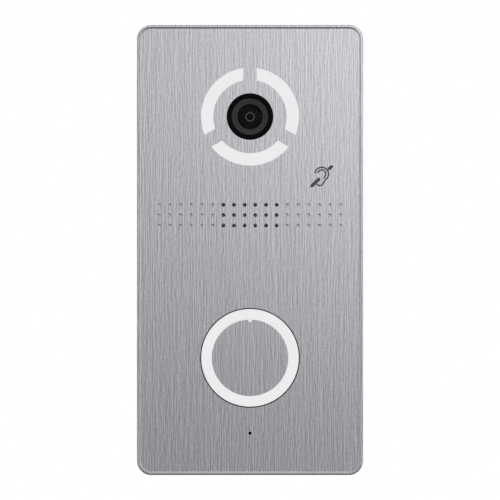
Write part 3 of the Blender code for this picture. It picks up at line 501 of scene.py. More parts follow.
ALUMINIUM = brushed("brushed_aluminium", 0.46, 0.74)
WHITE = white_diffuser()
BLACK = moulded("black_plastic", (0.016, 0.016, 0.017), 0.5, 0.015 * MM, 0.35)
HOUSING_BLACK = moulded("grained_black_plastic", (0.02, 0.02, 0.021), 0.55, 0.05 * MM, 0.4)
BEZEL_BLACK = turned_black("bezel_black", grey(0.002), 0.35, 0.05, 0.5 * MM)
HOOD_GREY = turned_black("hood_grey", grey(0.058), 0.6, 0.1, 0.4 * MM)
BARREL_BLACK = turned_black("barrel_black", grey(0.017), 0.6, 0.1, 0.3 * MM)
GLASS = lens_glass("coated_glass", 0.87)
DARK_GLASS = lens_glass("dark_coated_glass", 0.35)
RUBBER = grained(
    "soft_rubber", (400, 4.0, 0.6), [(0.3, grey(0.014)), (0.75, grey(0.03))],
    0.8, (0.65, 0.9), (0.02 * MM, 0.4), Specular_IOR_Level=0.3,
)
STEEL = grained(
    "machined_steel", (1500, 3.0, 0.6, (1, 0.08, 1)), [(0.3, grey(0.42)), (0.7, grey(0.62))],
    0.3, (0.22, 0.42), (0.006 * MM, 0.5), metallic=1.0,
)
ZINC = zinc()
COPPER = banded(
    "enamelled_copper", 0.5 * MM, "Y", [(0.1, (0.28, 0.09, 0.035)), (0.8, (0.72, 0.3, 0.14))],
    (0.1 * MM, 0.8), metallic=1.0, Coat_Weight=0.6,
)
MESH_CLOTH = woven_mesh()
PAPER = pressed_paper()
BOARD = solder_mask()
GREEN = moulded("green_plastic", (0.03, 0.24, 0.07), 0.45)
BLUE = moulded("blue_plastic", (0.02, 0.07, 0.3), 0.4)
RED = moulded("red_plastic", (0.45, 0.02, 0.015), 0.4)
FERRITE = speckled("ferrite", grey(0.03), grey(0.075), 0.6)
SENSOR = speckled("sensor_glass", (0.002, 0.003, 0.005), (0.006, 0.008, 0.014), 0.3, 900)
FELT = speckled("black_felt", grey(0.003), grey(0.012), 0.95, 5000)
APERTURE_GREY = turned_black("aperture_grey", grey(0.24), 0.5, 0.1, 0.2 * MM)
LED_BODY = speckled("led_body", (0.75, 0.7, 0.45), (0.85, 0.82, 0.62), 0.4, 700)
CABLE = banded(
    "flat_cable", 1.0 * MM, "X", [(0.35, (0.35, 0.13, 0.015)), (0.6, (0.7, 0.36, 0.08))],
    (0.02 * MM, 0.5), Coat_Weight=0.5,
)
GOLD = grained(
    "gold_contact", (900, 3.0), [(0.3, (0.75, 0.5, 0.16)), (0.7, (0.95, 0.7, 0.3))],
    0.25, metallic=1.0,
)
LABEL = grained(
    "paper_label", (2400, 4.0, 0.6), [(0.3, grey(0.62)), (0.7, (0.7, 0.7, 0.69))],
    0.55, relief=(0.005 * MM, 0.4),
)
SIGN_INK = speckled("sign_ink", grey(0.07), grey(0.10), 0.6)

NODE_MATERIALS = {
    BLACK: ["lens_holder", "button_holder", "switch_body", "tamper_switch"],
    RUBBER: [
        "speaker_gasket", "speaker_surround", "button_seal", "microphone_boot", "housing_gasket",
    ],
    STEEL: [
        "speaker_basket", "speaker_magnet", "processor_shield",
        *(f"{part}_screw_{number}" for part in ("camera", "button") for number in (1, 2)),
        *(f"housing_screw_{number}" for number in (1, 2, 3, 4)),
    ],
    COPPER: ["hearing_loop_coil"],
    MESH_CLOTH: ["speaker_mesh"],
    PAPER: ["speaker_cone"],
    BOARD: ["camera_light_board", "camera_board", "button_board", "main_board"],
    BLUE: ["lock_relay"],
    RED: ["switch_plunger"],
    FERRITE: ["power_transformer"],
    SENSOR: ["image_sensor"],
    LED_BODY: [f"{part}_led_{number}" for part in ("camera", "button") for number in (1, 2, 3)],
    CABLE: ["camera_ribbon"],
}


def paint_nodes():
    for material, names in NODE_MATERIALS.items():
        for name in names:
            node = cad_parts[name]
            if not node.material_slots:
                node.data.materials.append(material)
            for slot in node.material_slots:
                slot.material = material


# ---- front tray

CORNER_RADIUS = 6.3 * MM
SKIRT_WALL = 2.0 * MM
EDGE_RADIUS = 0.42 * MM
RIM_FLAT = 0.5 * MM
RIM_SLOPE = 0.75 * MM

CAMERA = middle_of("camera_bezel")
BUTTON = (middle_of("button_disc")[0], middle_of("button_seal")[1])
SPEAKER = middle_of("speaker_gasket")
MICROPHONE = middle_of("microphone_boot")
CAMERA_HOLE = 10.2 * MM
BUTTON_HOLE = 22.08 * MM
LIGHT_INNER = 16.15 * MM
LIGHT_OUTER = 21.7 * MM
LIGHT_GAP = 5.9 * MM
SEGMENTS = (30, 150, 270)  # middles of the lit segments, in degrees
HOLE_PITCH = (4.72 * MM, 4.57 * MM)
HOLE_COLUMNS = 18
HOLE_ROWS = 3
OPEN_COLUMNS = range(6, 12)


def tray_outline(inset):
    radius = CORNER_RADIUS - inset
    return centred_outline(HALF_X - inset, HALF_Z - inset, radius, (0, PANEL_Z), 16)


def segment_outline(middle, inner, outer, gap, steps=40):
    """A ring's sector whose ends are parallel to the bars of metal beside it."""
    points = []
    for radius, direction in ((outer, 1), (inner, -1)):
        reach = degrees(pi / 3 - asin(gap / 2 / radius)) * direction
        points += arc(CAMERA, radius, middle - reach, middle + reach, steps)
    return points


def grille_places(columns):
    first = -(HOLE_COLUMNS - 1) / 2
    return [
        (
            SPEAKER[0] + (first + column) * HOLE_PITCH[0],
            SPEAKER[1] + (row - (HOLE_ROWS - 1) / 2) * HOLE_PITCH[1],
        )
        for column in columns
        for row in range(HOLE_ROWS)
    ]


def hole_profile(radius, chamfer):
    """A through hole in the face with a chamfered mouth, as a tool."""
    return [
        (0, FACE_Y - PAST), (radius + chamfer, FACE_Y - PAST), (radius + chamfer, FACE_Y),
        (radius, FACE_Y + chamfer), (radius, FACE_BACK_Y + PAST), (0, FACE_BACK_Y + PAST),
    ]


def dimple_profile(radius, depth, steps=7):
    """A blind round dimple, as a tool: a nearly flat floor that turns up steeply at its edge."""
    points = []
    for step in range(steps + 1):
        share = sin(pi / 2 * step / steps)
        points.append((radius * share, FACE_Y + depth * (1 - share**2.4)))
    return [*points, (radius, FACE_Y - PAST), (0, FACE_Y - PAST)]


def build_tray():
    layers = [
        (tray_outline(SKIRT_WALL), FACE_BACK_Y), (tray_outline(SKIRT_WALL), PANEL_HIGH.y),
        (tray_outline(0), PANEL_HIGH.y),
    ]
    for x, y in arc((EDGE_RADIUS, CREST_Y + EDGE_RADIUS), EDGE_RADIUS, 180, 270, 5):
        layers.append((tray_outline(x), y))
    slope, steps = EDGE_RADIUS + RIM_FLAT, 5
    for step in range(steps + 1):
        share = step / steps
        fall = (FACE_Y - CREST_Y) * (1 - (1 - share) ** 1.7)
        layers.append((tray_outline(slope + RIM_SLOPE * share), CREST_Y + fall))
    tray = stack("tray", layers, ALUMINIUM, ("panel", "brushed_aluminium", "front_panel"))
    tools = [
        turned("camera_hole", hole_profile(CAMERA_HOLE, 0.12 * MM), None, CAMERA),
        turned("button_hole", hole_profile(BUTTON_HOLE, 0.02 * MM), None, BUTTON),
        turned("mic_hole", hole_profile(0.7 * MM, 0.06 * MM), None, MICROPHONE, SMALL),
    ]
    open_holes = grille_places(OPEN_COLUMNS)
    tools.append(turned_many("grille", hole_profile(0.82 * MM, 0.05 * MM), open_holes, SMALL))
    blind = grille_places(c for c in range(HOLE_COLUMNS) if c not in OPEN_COLUMNS)
    tools.append(turned_many("dimples", dimple_profile(0.76 * MM, 0.36 * MM), blind, SMALL))
    for middle in SEGMENTS:
        outline = segment_outline(middle, LIGHT_INNER, LIGHT_OUTER, LIGHT_GAP)
        tools.append(prism("window", outline, FACE_Y - PAST, FACE_BACK_Y + PAST))
    cut(tray, *tools)
    cut_security_holes(tray)
    # large flat faces stay flat where small curved ones meet them
    tray.modifiers.new("weighted", "WEIGHTED_NORMAL").keep_sharp = True


def upright(name, centre, low, high, radius, steps=SMALL):
    """A round tool along Z at centre (x, y)."""
    bm = bmesh.new()
    middle = Matrix.Translation((*centre, (low + high) / 2))
    bmesh.ops.create_cone(
        bm, cap_ends=True, segments=steps, radius1=radius, radius2=radius, depth=high - low,
        matrix=middle,
    )
    return place(name, bm)


def screw_axis(number):
    """(x, y) of a security screw's axis."""
    low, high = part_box(f"security_screw_{number}")
    return ((low.x + high.x) / 2, (low.y + high.y) / 2)


def cut_security_holes(tray):
    bottom = PANEL_LOW.z
    head, head_depth, shank, shank_depth = 2.9 * MM, 1.2 * MM, 1.6 * MM, 3.0 * MM
    tools = []
    for number in (1, 2):
        axis = screw_axis(number)
        tools.append(upright("head_hole", axis, bottom - PAST, bottom + head_depth, head))
        tools.append(upright("shank_hole", axis, bottom - PAST, bottom + shank_depth, shank))
    cut(tray, *tools)


def build_security_screws():
    for number in (1, 2):
        node = f"security_screw_{number}"
        low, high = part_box(node)
        axis = screw_axis(number)
        head, head_back, shank = 2.7 * MM, low.z + 1.0 * MM, 1.2 * MM
        profile = [
            (0, low.z), (head - 0.25 * MM, low.z), (head - 0.05 * MM, low.z + 0.1 * MM),
            (head, low.z + 0.25 * MM), (head, head_back), (shank, head_back),
            (shank, high.z - 0.3 * MM), (shank - 0.3 * MM, high.z), (0, high.z),
        ]
        bm = bmesh.new()
        add_turned(bm, profile, (0, 0), FINE)
        bmesh.ops.rotate(bm, verts=bm.verts, matrix=Matrix.Rotation(radians(90), 3, "X"))
        bmesh.ops.translate(bm, verts=bm.verts, vec=(*axis, 0))
        screw = place(f"lock_screw_{number}", bm, STEEL, "panel", "bright_steel", node)
        recess = upright("hex", axis, low.z - PAST, low.z + 0.6 * MM, 1.15 * MM, 6)
        cut(screw, recess)


# ---- camera


def build_light_guide():
    """A ring behind the face with three raised segments, which fill the face's windows."""
    low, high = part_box("camera_light_guide")
    profile = ring_profile(15.4 * MM, 22.6 * MM, high.y - 1.95 * MM, high.y)
    guide = turned(
        "light_ring", profile, WHITE, CAMERA,
        riding=("panel", "white_light_guide", "camera_light_guide"),
    )
    gap, edge = 0.03 * MM, 0.08 * MM
    segments = []
    for middle in SEGMENTS:
        layers = []
        for inset, y in ((edge, low.y), (0, low.y + edge), (0, high.y - 0.5 * MM)):
            less = gap + inset
            sizes = (LIGHT_INNER + less, LIGHT_OUTER - less, LIGHT_GAP + 2 * less)
            layers.append((segment_outline(middle, *sizes), y))
        segments.append(stack("segment", layers))
    join(guide, *segments)


def camera_piece(name, profile, material, slot, *nodes, steps=SMOOTH):
    turned(name, profile, material, CAMERA, steps, ("panel", slot, *nodes))


def build_camera():
    low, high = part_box("camera_bezel")
    front = low.y
    inner, outer, flange, edge = 8.2 * MM, 10.1 * MM, 12.4 * MM, 0.25 * MM
    bezel = [
        (inner, high.y), (flange, high.y), (flange, FACE_BACK_Y + GAP),
        (outer, FACE_BACK_Y + GAP),
        *arc((outer - edge, front + edge), edge, 0, -90, 5),
        *arc((inner + edge, front + edge), edge, -90, -180, 5),
    ]
    camera_piece("bezel", bezel, BEZEL_BLACK, "black_plastic", "camera_bezel")
    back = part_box("camera_hood")[1].y
    mouth, outer, flange, counterbore = 5.6 * MM, 8.1 * MM, 9.5 * MM, 6.3 * MM
    rim, flange_front, floor = front + 0.75 * MM, back - 0.7 * MM, back - 1.0 * MM
    slope, steps = [], 4
    for step in range(steps + 1):
        share = step / steps
        slope.append(((5.85 + 2.2 * share) * MM, rim + 1.2 * (1 - share**0.8) * MM))
    hood = [
        (mouth, front + 2.05 * MM), *slope, (outer, rim), (outer, flange_front),
        (flange, flange_front), (flange, back), (counterbore, back), (counterbore, floor),
        (mouth, floor),
    ]
    camera_piece("hood", hood, HOOD_GREY, "dark_grey_plastic", "camera_hood")
    build_lens()


def lens_profile(node, radius, height, steps):
    """A lens as deep as its node, with a spherical front of that height and a flat back."""
    low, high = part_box(node)
    sphere = (radius**2 + height**2) / (2 * height)
    reach = asin(radius / sphere)
    points = [(0, low.y)]
    for step in range(1, steps + 1):
        angle = reach * step / steps
        points.append((sphere * sin(angle), low.y + sphere * (1 - cos(angle))))
    return [*points, (radius, high.y), (0, high.y)]


def build_lens():
    """From the front: the outer lens, its barrel, the aperture with its lip, the second lens."""
    lens = lens_profile("front_lens", 5.5 * MM, 1.0 * MM, 12)
    camera_piece("lens", lens, GLASS, "lens_glass", "front_lens")
    low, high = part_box("lens_barrel")
    barrel = [
        (5.6 * MM, low.y), (5.95 * MM, low.y), (6.0 * MM, low.y + 0.1 * MM), (6.0 * MM, high.y),
        (4.9 * MM, high.y), (4.9 * MM, low.y + 0.7 * MM), (5.6 * MM, low.y + 0.7 * MM),
    ]
    camera_piece("barrel", barrel, BARREL_BLACK, "black_anodised_metal", "lens_barrel")
    low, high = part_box("iris_ring")
    plate = high.y - 0.6 * MM
    iris = ring_profile(1.5 * MM, 4.85 * MM, plate, high.y)
    camera_piece("iris", iris, BARREL_BLACK, "dark_grey_plastic", "iris_ring", steps=FINE)
    inner, outer, edge = 1.55 * MM, 2.06 * MM, 0.06 * MM
    lip = [
        (inner, plate - GAP), (inner, low.y + edge), (inner + edge, low.y),
        (outer - edge, low.y), (outer, low.y + edge), (outer, plate - GAP),
    ]
    camera_piece("aperture_ring", lip, APERTURE_GREY, "dark_grey_plastic", steps=FINE)
    dome = lens_profile("inner_lens", 2.55 * MM, 0.6 * MM, 8)
    camera_piece("second_lens", dome, DARK_GLASS, "lens_glass", "inner_lens", steps=FINE)


# ---- call button


def key_outline(radius, half_width, depth, steps=12):
    """The ring's small key with a round nose, from inside the ring's wall down to its tip."""
    nose = (BUTTON[0], BUTTON[1] + radius - depth + half_width)
    root = BUTTON[1] + radius + 1.0 * MM
    sides = [(BUTTON[0] + half_width, root), (BUTTON[0] - half_width, root)]
    return sides + arc(nose, half_width, 180, 360, steps)


def build_button():
    """The light ring with its flange, hub and key, the disc in it, and a black ring behind its
    gap, which is painted shade: it makes the gap look as dark as a deep shadow would.
    """
    low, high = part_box("button_ring")
    disc_low, disc_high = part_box("button_disc")
    front = low.y
    floor = disc_high.y + GAP
    edge = 0.12 * MM
    seat, outer, flange_radius, hub_radius = 16.95 * MM, 21.55 * MM, 23.1 * MM, 3.0 * MM
    painted_shade_front, flange_front, flange_back = -5.5 * MM, -5.2 * MM, -4.3 * MM
    # painted shade: a black rubber ring in front of the white flange, so that the gap around the
    # light ring shows dark as if in shadow
    shade = ring_profile(outer + GAP, flange_radius, painted_shade_front, flange_front - GAP)
    turned("painted_shade_ring", shade, RUBBER, BUTTON, riding=("call_button", "black_rubber"))
    profile = [
        (0, floor), (seat, floor),
        *arc((seat + edge, front + edge), edge, 180, 270, 4),
        *arc((outer - edge, front + edge), edge, 270, 360, 6),
        (outer, flange_front), (flange_radius, flange_front), (flange_radius, flange_back),
        (hub_radius, flange_back), (hub_radius, high.y), (0, high.y),
    ]
    light = turned(
        "call_ring", profile, WHITE, BUTTON,
        riding=("call_button", "white_light_guide", "button_ring"),
    )
    key = prism("key", key_outline(seat, 0.75 * MM, 1.1 * MM), front + 0.1 * MM, floor + 0.3 * MM)
    join(light, key)

    disc = turned(
        "call_disc", disc_profile(seat - GAP, disc_low.y, disc_high.y, edge), ALUMINIUM, BUTTON,
        riding=("call_button", "brushed_aluminium", "button_disc"),
    )
    keyway = key_outline(seat, 0.8 * MM, 1.15 * MM)
    cut(disc, prism("keyway", keyway, disc_low.y - PAST, disc_high.y + PAST))
    build_button_springs()


def build_button_springs():
    """Three coil springs of round wire behind the button."""
    travel, wire = 1.0 * MM, 0.25 * MM
    nodes = [f"button_spring_{number}" for number in (1, 2, 3)]
    bm = bmesh.new()
    for node in nodes:
        low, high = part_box(node)
        radius = (high.x - low.x) / 2 - wire
        add_coil(bm, middle_of(node), low.y + wire, high.y - wire, radius, wire)
    springs = place("button_springs", bm, STEEL, "panel", "bright_steel", *nodes)
    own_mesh(springs)


def add_coil(bm, centre, front, back, radius, wire, turns=4, steps=24, sides=8):
    """A coil along Y. front and back are the wire's own middle at the two ends."""
    rings = []
    for step in range(turns * steps + 1):
        share = step / (turns * steps)
        angle = tau * turns * share
        ring = []
        for side in range(sides):
            around = tau * side / sides
            reach = radius + wire * cos(around)
            ring.append(bm.verts.new((
                centre[0] + reach * cos(angle),
                front + (back - front) * share + wire * sin(around),
                centre[1] + reach * sin(angle),
            )))
        rings.append(ring)
    bridge(bm, rings)


# ---- microphone


def build_microphone():
    """The microphone's can with a felt disc on its front, seen through the hole in the face."""
    low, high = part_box("microphone_capsule")
    felt_back = low.y + 0.3 * MM
    radius = high.x - MICROPHONE[0]
    edge = 0.25 * MM
    turned(
        "mic_can", disc_profile(radius, felt_back, high.y, edge), STEEL, MICROPHONE, FINE,
        riding=("panel", "bright_steel", "microphone_capsule"),
    )
    felt = [
        (0, low.y), (radius - 2 * edge, low.y), (radius - edge, low.y + 0.1 * MM),
        (radius - edge, felt_back - GAP), (0, felt_back - GAP),
    ]
    turned("mic_felt", felt, FELT, MICROPHONE, FINE, riding=("panel", "acoustic_mesh"))


# ---- sign


def thick_line(points, width):
    """The outline of a line with round ends through the points."""
    left, right = [], []
    for index, point in enumerate(points):
        before = points[max(0, index - 1)]
        after = points[min(len(points) - 1, index + 1)]
        along = Vector((after[0] - before[0], after[1] - before[1])).normalized()
        side = Vector((-along.y, along.x)) * width / 2
        left.append((point[0] + side.x, point[1] + side.y))
        right.append((point[0] - side.x, point[1] - side.y))
    start, end = Vector(points[0]), Vector(points[-1])
    heading = degrees(atan2(*(end - Vector(points[-2])).yx))
    tail = degrees(atan2(*(Vector(points[1]) - start).yx))
    head_cap = arc(end, width / 2, heading + 90, heading - 90, 6)[1:-1]
    tail_cap = arc(start, width / 2, tail - 90, tail - 270, 6)[1:-1]
    return left + head_cap + right[::-1] + tail_cap


def curve_through(points):
    """A smooth line through the points (Catmull-Rom)."""
    steps = 3
    ends = [points[0], *points, points[-1]]
    line = []
    for before, start, end, after in zip(ends, ends[1:], ends[2:], ends[3:]):
        for step in range(steps):
            t = step / steps
            line.append(tuple(
                0.5 * (
                    2 * start[axis]
                    + (end[axis] - before[axis]) * t
                    + (2 * before[axis] - 5 * start[axis] + 4 * end[axis] - after[axis]) * t**2
                    + (3 * start[axis] - before[axis] - 3 * end[axis] + after[axis]) * t**3
                )
                for axis in (0, 1)
            ))
    return [*line, points[-1]]


def build_sign():
    """The sign for the hearing loop, printed on the face: an ear crossed by a bar. Its own sizes
    are in millimetres."""
    centre = (31.7, 32.6)
    outer = arc((0.05, 1.0), 3.0, 172, -22, 16)
    outer += [(2.3, -0.9), (1.5, -1.7), (0.9, -2.7), (0.3, -3.7), (-0.9, -4.15), (-2.0, -3.6)]
    inner = arc((0.05, 1.1), 1.75, 162, -40, 10) + [(0.9, -0.75)]
    lines = [
        (curve_through(outer), 0.66), (curve_through(inner), 0.6),
        ([(-4.4, -4.3), (-1.3, -1.35)], 1.5), ([(3.4, 3.35), (4.3, 4.2)], 1.45),
    ]
    bm = bmesh.new()
    for points, width in lines:
        outline = [
            ((centre[0] + x) * MM, PANEL_Z + (centre[1] + z) * MM)
            for x, z in thick_line(points, width)
        ]
        add_stack(bm, [(outline, FACE_Y - 0.015 * MM), (outline, FACE_Y - 0.001 * MM)])
    place("hearing_sign", bm, SIGN_INK, "panel", "dark_grey_plastic")


# ---- rear

HOUSING_HALF_X = 41.0 * MM
HOUSING_TOP_Z = PANEL_Z + 86.0 * MM
HOUSING_BOTTOM_Z = PANEL_Z - 87.7 * MM
HOUSING_WALL = 2.0 * MM
FLANGE_THICKNESS = 2.0 * MM
BAY_HALF_X = 33.0 * MM
BAY_TOP_Z = PANEL_Z - 50.0 * MM
BAY_FLOOR_Y = 26.0 * MM
LABEL_HALF = (28.0 * MM, 17.0 * MM)
LABEL_CENTRE = (0, PANEL_Z + 20.0 * MM)
LABEL_DEPTH = 0.4 * MM
JACK = middle_of("network_jack")
HEADER = middle_of("terminal_header")
TAMPER = middle_of("tamper_plunger")


def housing_outline(inset):
    low = (inset - HOUSING_HALF_X, HOUSING_BOTTOM_Z + inset)
    high = (HOUSING_HALF_X - inset, HOUSING_TOP_Z - inset)
    return rounded_outline(low, high, 4.0 * MM - inset, 8)


def bay_tool(name, wall, back):
    """The connection bay, grown by a wall; it runs out through the housing's foot."""
    low = (-BAY_HALF_X - wall, HOUSING_BOTTOM_Z - 10 * MM)
    high = (BAY_HALF_X + wall, BAY_TOP_Z + wall)
    outline = rounded_outline(low, high, 1.5 * MM + wall, 6)
    return prism(name, outline, BAY_FLOOR_Y - wall, back)


def build_housing():
    """A grained box on a flange, hollow around the bay, with ways for the connectors."""
    low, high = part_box("rear_housing")
    back = high.y
    past = back + PAST
    edge = 1.5 * MM
    layers = [(housing_outline(0), low.y + 0.5 * MM)]
    for inset, y in arc((edge, back - edge), edge, 180, 90, 5):
        layers.append((housing_outline(inset), y))
    housing = stack(
        "housing", layers, HOUSING_BLACK,
        riding=("panel", "black_plastic", "rear_housing"),
    )
    flange = centred_outline(high.x, (high.z - low.z) / 2, 3.0 * MM, (0, PANEL_Z))
    join(housing, prism("flange", flange, low.y, low.y + FLANGE_THICKNESS))

    inner_back = back - HOUSING_WALL
    cavity = prism("cavity", housing_outline(HOUSING_WALL), low.y - PAST, inner_back)
    cut(cavity, bay_tool("bay_walls", HOUSING_WALL, back + 5 * MM))
    tools = [cavity, bay_tool("bay", 0.0, back + 5 * MM)]
    floor = (BAY_FLOOR_Y - HOUSING_WALL - PAST, BAY_FLOOR_Y + PAST)
    tools.append(prism("jack_way", centred_outline(8.4 * MM, 7.1 * MM, 0.6 * MM, JACK), *floor))
    header_way = centred_outline(16.9 * MM, 5.3 * MM, 0.6 * MM, HEADER)
    tools.append(prism("header_way", header_way, *floor))
    hole, mouth = 2.9 * MM, 3.4 * MM
    tamper_way = [
        (0, inner_back - PAST), (hole, inner_back - PAST), (hole, back + hole - mouth),
        (mouth, back), (mouth, past), (0, past),
    ]
    tools.append(turned("tamper_way", tamper_way, None, TAMPER, FINE))
    label = centred_outline(*LABEL_HALF, 1.5 * MM, LABEL_CENTRE, 6)
    tools.append(prism("label_recess", label, back - LABEL_DEPTH, past))
    cut(housing, *tools)
    cut(housing, *housing_reliefs(back))
    build_label(back)


def housing_reliefs(back):
    """Shallow moulded grooves and an arrow that points up."""
    depth = (back - 0.5 * MM, back + PAST)
    count, pitch = 9, 6.4 * MM
    reliefs = []
    for index in range(count):
        middle = ((index - (count - 1) / 2) * pitch, PANEL_Z - 22 * MM)
        groove = centred_outline(1.0 * MM, 10.0 * MM, 0.99 * MM, middle, 4)
        reliefs.append(prism("groove", groove, *depth))
    top = PANEL_Z + 78 * MM
    arrow = [(0, 0), (-4, -5), (-1.5, -5), (-1.5, -11), (1.5, -11), (1.5, -5), (4, -5)]
    arrow = [(x * MM, top + z * MM) for x, z in arrow]
    return [*reliefs, prism("arrow", arrow, *depth)]


def build_label(back):
    """A blank rating label in its recess."""
    inset = 0.4 * MM
    half_x, half_z = LABEL_HALF
    outline = centred_outline(half_x - inset, half_z - inset, 1.2 * MM, LABEL_CENTRE, 6)
    front = back - LABEL_DEPTH + 0.02 * MM
    prism("label", outline, front, front + 0.12 * MM, LABEL, ("panel", "led_package"))


def build_bracket():
    """The wall frame: bent lugs, tongues, screw slots and small locating holes."""
    low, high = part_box("mounting_bracket")
    half_x, half_z = high.x, PANEL_Z - low.z
    sheet = 1.5 * MM
    outline = centred_outline(half_x, half_z, 3.0 * MM, (0, PANEL_Z))
    bracket = prism(
        "wall_bracket", outline, -sheet, high.y, ZINC,
        riding=("panel", "zinc_plated_steel", "mounting_bracket"),
    )
    window_low = (-41.6 * MM, PANEL_Z - 88.3 * MM)
    window_high = (41.6 * MM, PANEL_Z + 86.6 * MM)
    through = (-4 * MM, 2 * MM)
    tools = [prism("window", rounded_outline(window_low, window_high, 4.4 * MM, 8), *through)]
    slot_x, mark_x = 24 * MM, 38 * MM
    for z in (0.0, (window_low[1] + low.z) / 2):
        for x in (-slot_x, slot_x):
            slot = centred_outline(4.6 * MM, 1.95 * MM, 1.949 * MM, (x, z))
            tools.append(prism("slot", slot, *through))
        pin = ring_profile(0, 1.1 * MM, *through)
        tools.append(turned_many("locating_hole", pin, [(-mark_x, z), (mark_x, z)], SMALL))
    cut(bracket, *tools)

    depth = (low.y, -0.2 * MM)
    top = PANEL_Z + half_z
    lugs = [across(0, 32 * MM, depth, (top - sheet, top))]
    for x in (-slot_x, slot_x):
        lugs.append(across(x, 4 * MM, (-3.25 * MM, -1.55 * MM), (top - 0.9 * MM, high.z)))
    holes = []
    for number in (1, 2):
        axis = screw_axis(number)
        lugs.append(across(axis[0], 8 * MM, depth, (low.z, low.z + sheet)))
        holes.append(upright("thread", axis, low.z - PAST, low.z + 3 * MM, 1.35 * MM))
    for lug in lugs:
        join(bracket, bricks("lug", [lug]))
    cut(bracket, *holes)
    round_edges(bracket, 0.2 * MM)


def build_network_socket():
    """Steel shield, black insert with the plug's mouth and latch notch, and eight spring wires."""
    low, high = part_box("network_jack")
    sheet = 0.35 * MM
    shield = bricks(
        "socket_shield", [(low, high)], STEEL,
        riding=("panel", "bright_steel", "network_jack"),
    )
    inside = Vector((sheet, sheet, sheet))
    inner_low, inner_high = low + inside, high - inside
    inner_high.y = high.y + PAST
    cut(shield, bricks("shield_inside", [(inner_low, inner_high)]))
    round_edges(shield, 0.12 * MM)

    insert_low = inner_low + Vector((GAP, GAP, GAP))
    insert_high = Vector((inner_high.x - GAP, high.y - 0.3 * MM, inner_high.z - GAP))
    insert = bricks(
        "socket_insert", [(insert_low, insert_high)], BLACK, ("panel", "black_plastic")
    )
    x, z = JACK
    depth = (high.y - 10.0 * MM, high.y + PAST)
    mouth = across(x, 5.9 * MM, depth, (z - 4.2 * MM, z + 3.0 * MM))
    notch = across(x, 3.1 * MM, depth, (z + 2.7 * MM, z + 5.1 * MM))
    cut(insert, bricks("mouth", [mouth]), bricks("notch", [notch]))
    round_edges(insert, 0.1 * MM)

    bm = bmesh.new()
    wires, pitch, wire = 8, 1.02 * MM, 0.22 * MM
    start_y, bend_y = high.y - 1.6 * MM, high.y - 8.0 * MM
    start_z, bend_z = z - 3.9 * MM, z - 1.6 * MM
    side = [
        (start_y, start_z), (start_y, start_z + wire), (bend_y, bend_z + wire), (bend_y, bend_z),
    ]
    for index in range(wires):
        middle = x + (index - (wires - 1) / 2) * pitch
        ends = (middle - wire, middle + wire)
        bridge(bm, [[bm.verts.new((end, *point)) for point in side] for end in ends])
    place("socket_wires", bm, GOLD, "panel", "copper_wire")


def build_terminals():
    """The green header on the board and its plug, with screws in wells and square wire entries."""
    low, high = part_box("terminal_header")
    header = bricks(
        "header", [(low, high)], GREEN,
        riding=("panel", "green_plastic", "terminal_header"),
    )
    z = HEADER[1]
    width = (high.x - low.x) / 2 - 1.0 * MM
    height = (low.z + 0.8 * MM, high.z - 0.8 * MM)
    socket = across((low.x + high.x) / 2, width, (high.y - 8 * MM, high.y + PAST), height)
    cut(header, bricks("header_socket", [socket]))
    round_edges(header, 0.15 * MM)

    shoulder = high.y + 0.3 * MM
    low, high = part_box("terminal_plug")
    tongue = ((low.x, low.y, z - 3.9 * MM), (high.x, shoulder + PAST, z + 3.9 * MM))
    plug = bricks(
        "plug", [tongue], GREEN,
        riding=("wiring_plug", "green_plastic", "terminal_plug"),
    )
    join(plug, bricks("plug_body", [((low.x, shoulder, low.z), high)]))
    count, pitch = 8, 3.81 * MM
    ways = [low.x + pitch * (way + 0.5) for way in range(count)]
    seat = high.y - 1.6 * MM
    well = [
        (0, seat), (1.45 * MM, seat), (1.45 * MM, high.y - 0.2 * MM), (1.65 * MM, high.y),
        (1.65 * MM, high.y + PAST), (0, high.y + PAST),
    ]
    wells = turned_many("wells", well, [(way, z) for way in ways], SMALL)
    middle = (shoulder + high.y) / 2 - 0.6 * MM
    depth = (middle - 1.4 * MM, middle + 1.4 * MM)
    entries = [across(way, 1.25 * MM, depth, (low.z - PAST, low.z + 4 * MM)) for way in ways]
    depth = (shoulder + 0.8 * MM, high.y - 0.8 * MM)
    lines = [
        across(low.x + pitch * way, 0.12 * MM, depth, (low.z - PAST, low.z + 0.3 * MM))
        for way in range(1, count)
    ]
    cut(plug, wells, bricks("entries", entries), bricks("lines", lines))
    round_edges(plug, 0.12 * MM)
    build_plug_screws([(way, z) for way in ways], seat)
    depth = (middle - 1.3 * MM, middle + 1.3 * MM)
    clamps = [across(way, 1.15 * MM, depth, (low.z + 1.4 * MM, low.z + 3.9 * MM)) for way in ways]
    bricks("plug_clamps", clamps, STEEL, ("wiring_plug", "bright_steel"))


def build_plug_screws(places, seat):
    """Slotted screw heads in the plug's wells."""
    front = seat + 0.03 * MM
    head, height, edge = 1.35 * MM, 0.9 * MM, 0.15 * MM
    profile = [
        (0, front), (head, front), (head, front + height - edge), (head - edge, front + height),
        (0, front + height),
    ]
    screws = turned_many(
        "plug_screws", profile, places, SMALL, STEEL, riding=("wiring_plug", "bright_steel")
    )
    depth = (front + height / 2, front + 2 * MM)
    slots = [across(x, 1.5 * MM, depth, (z - 0.2 * MM, z + 0.2 * MM)) for x, z in places]
    cut(screws, bricks("screw_slots", slots))


def build_tamper_button():
    low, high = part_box("tamper_plunger")
    stem, collar, knob, tip = 1.5 * MM, 3.75 * MM, 2.6 * MM, 0.6 * MM
    collar_front, collar_back = 33.4 * MM, 35.2 * MM
    profile = [
        (0, low.y), (stem, low.y), (stem, collar_front), (collar, collar_front),
        (collar, collar_back), (knob, collar_back),
        *arc((knob - tip, high.y - tip), tip, 0, 90, 6),
        (0, high.y),
    ]
    turned(
        "tamper_button", profile, RED, TAMPER, FINE,
        riding=("tamper_actuator", "red_plastic", "tamper_plunger"),
    )


# ---- stage


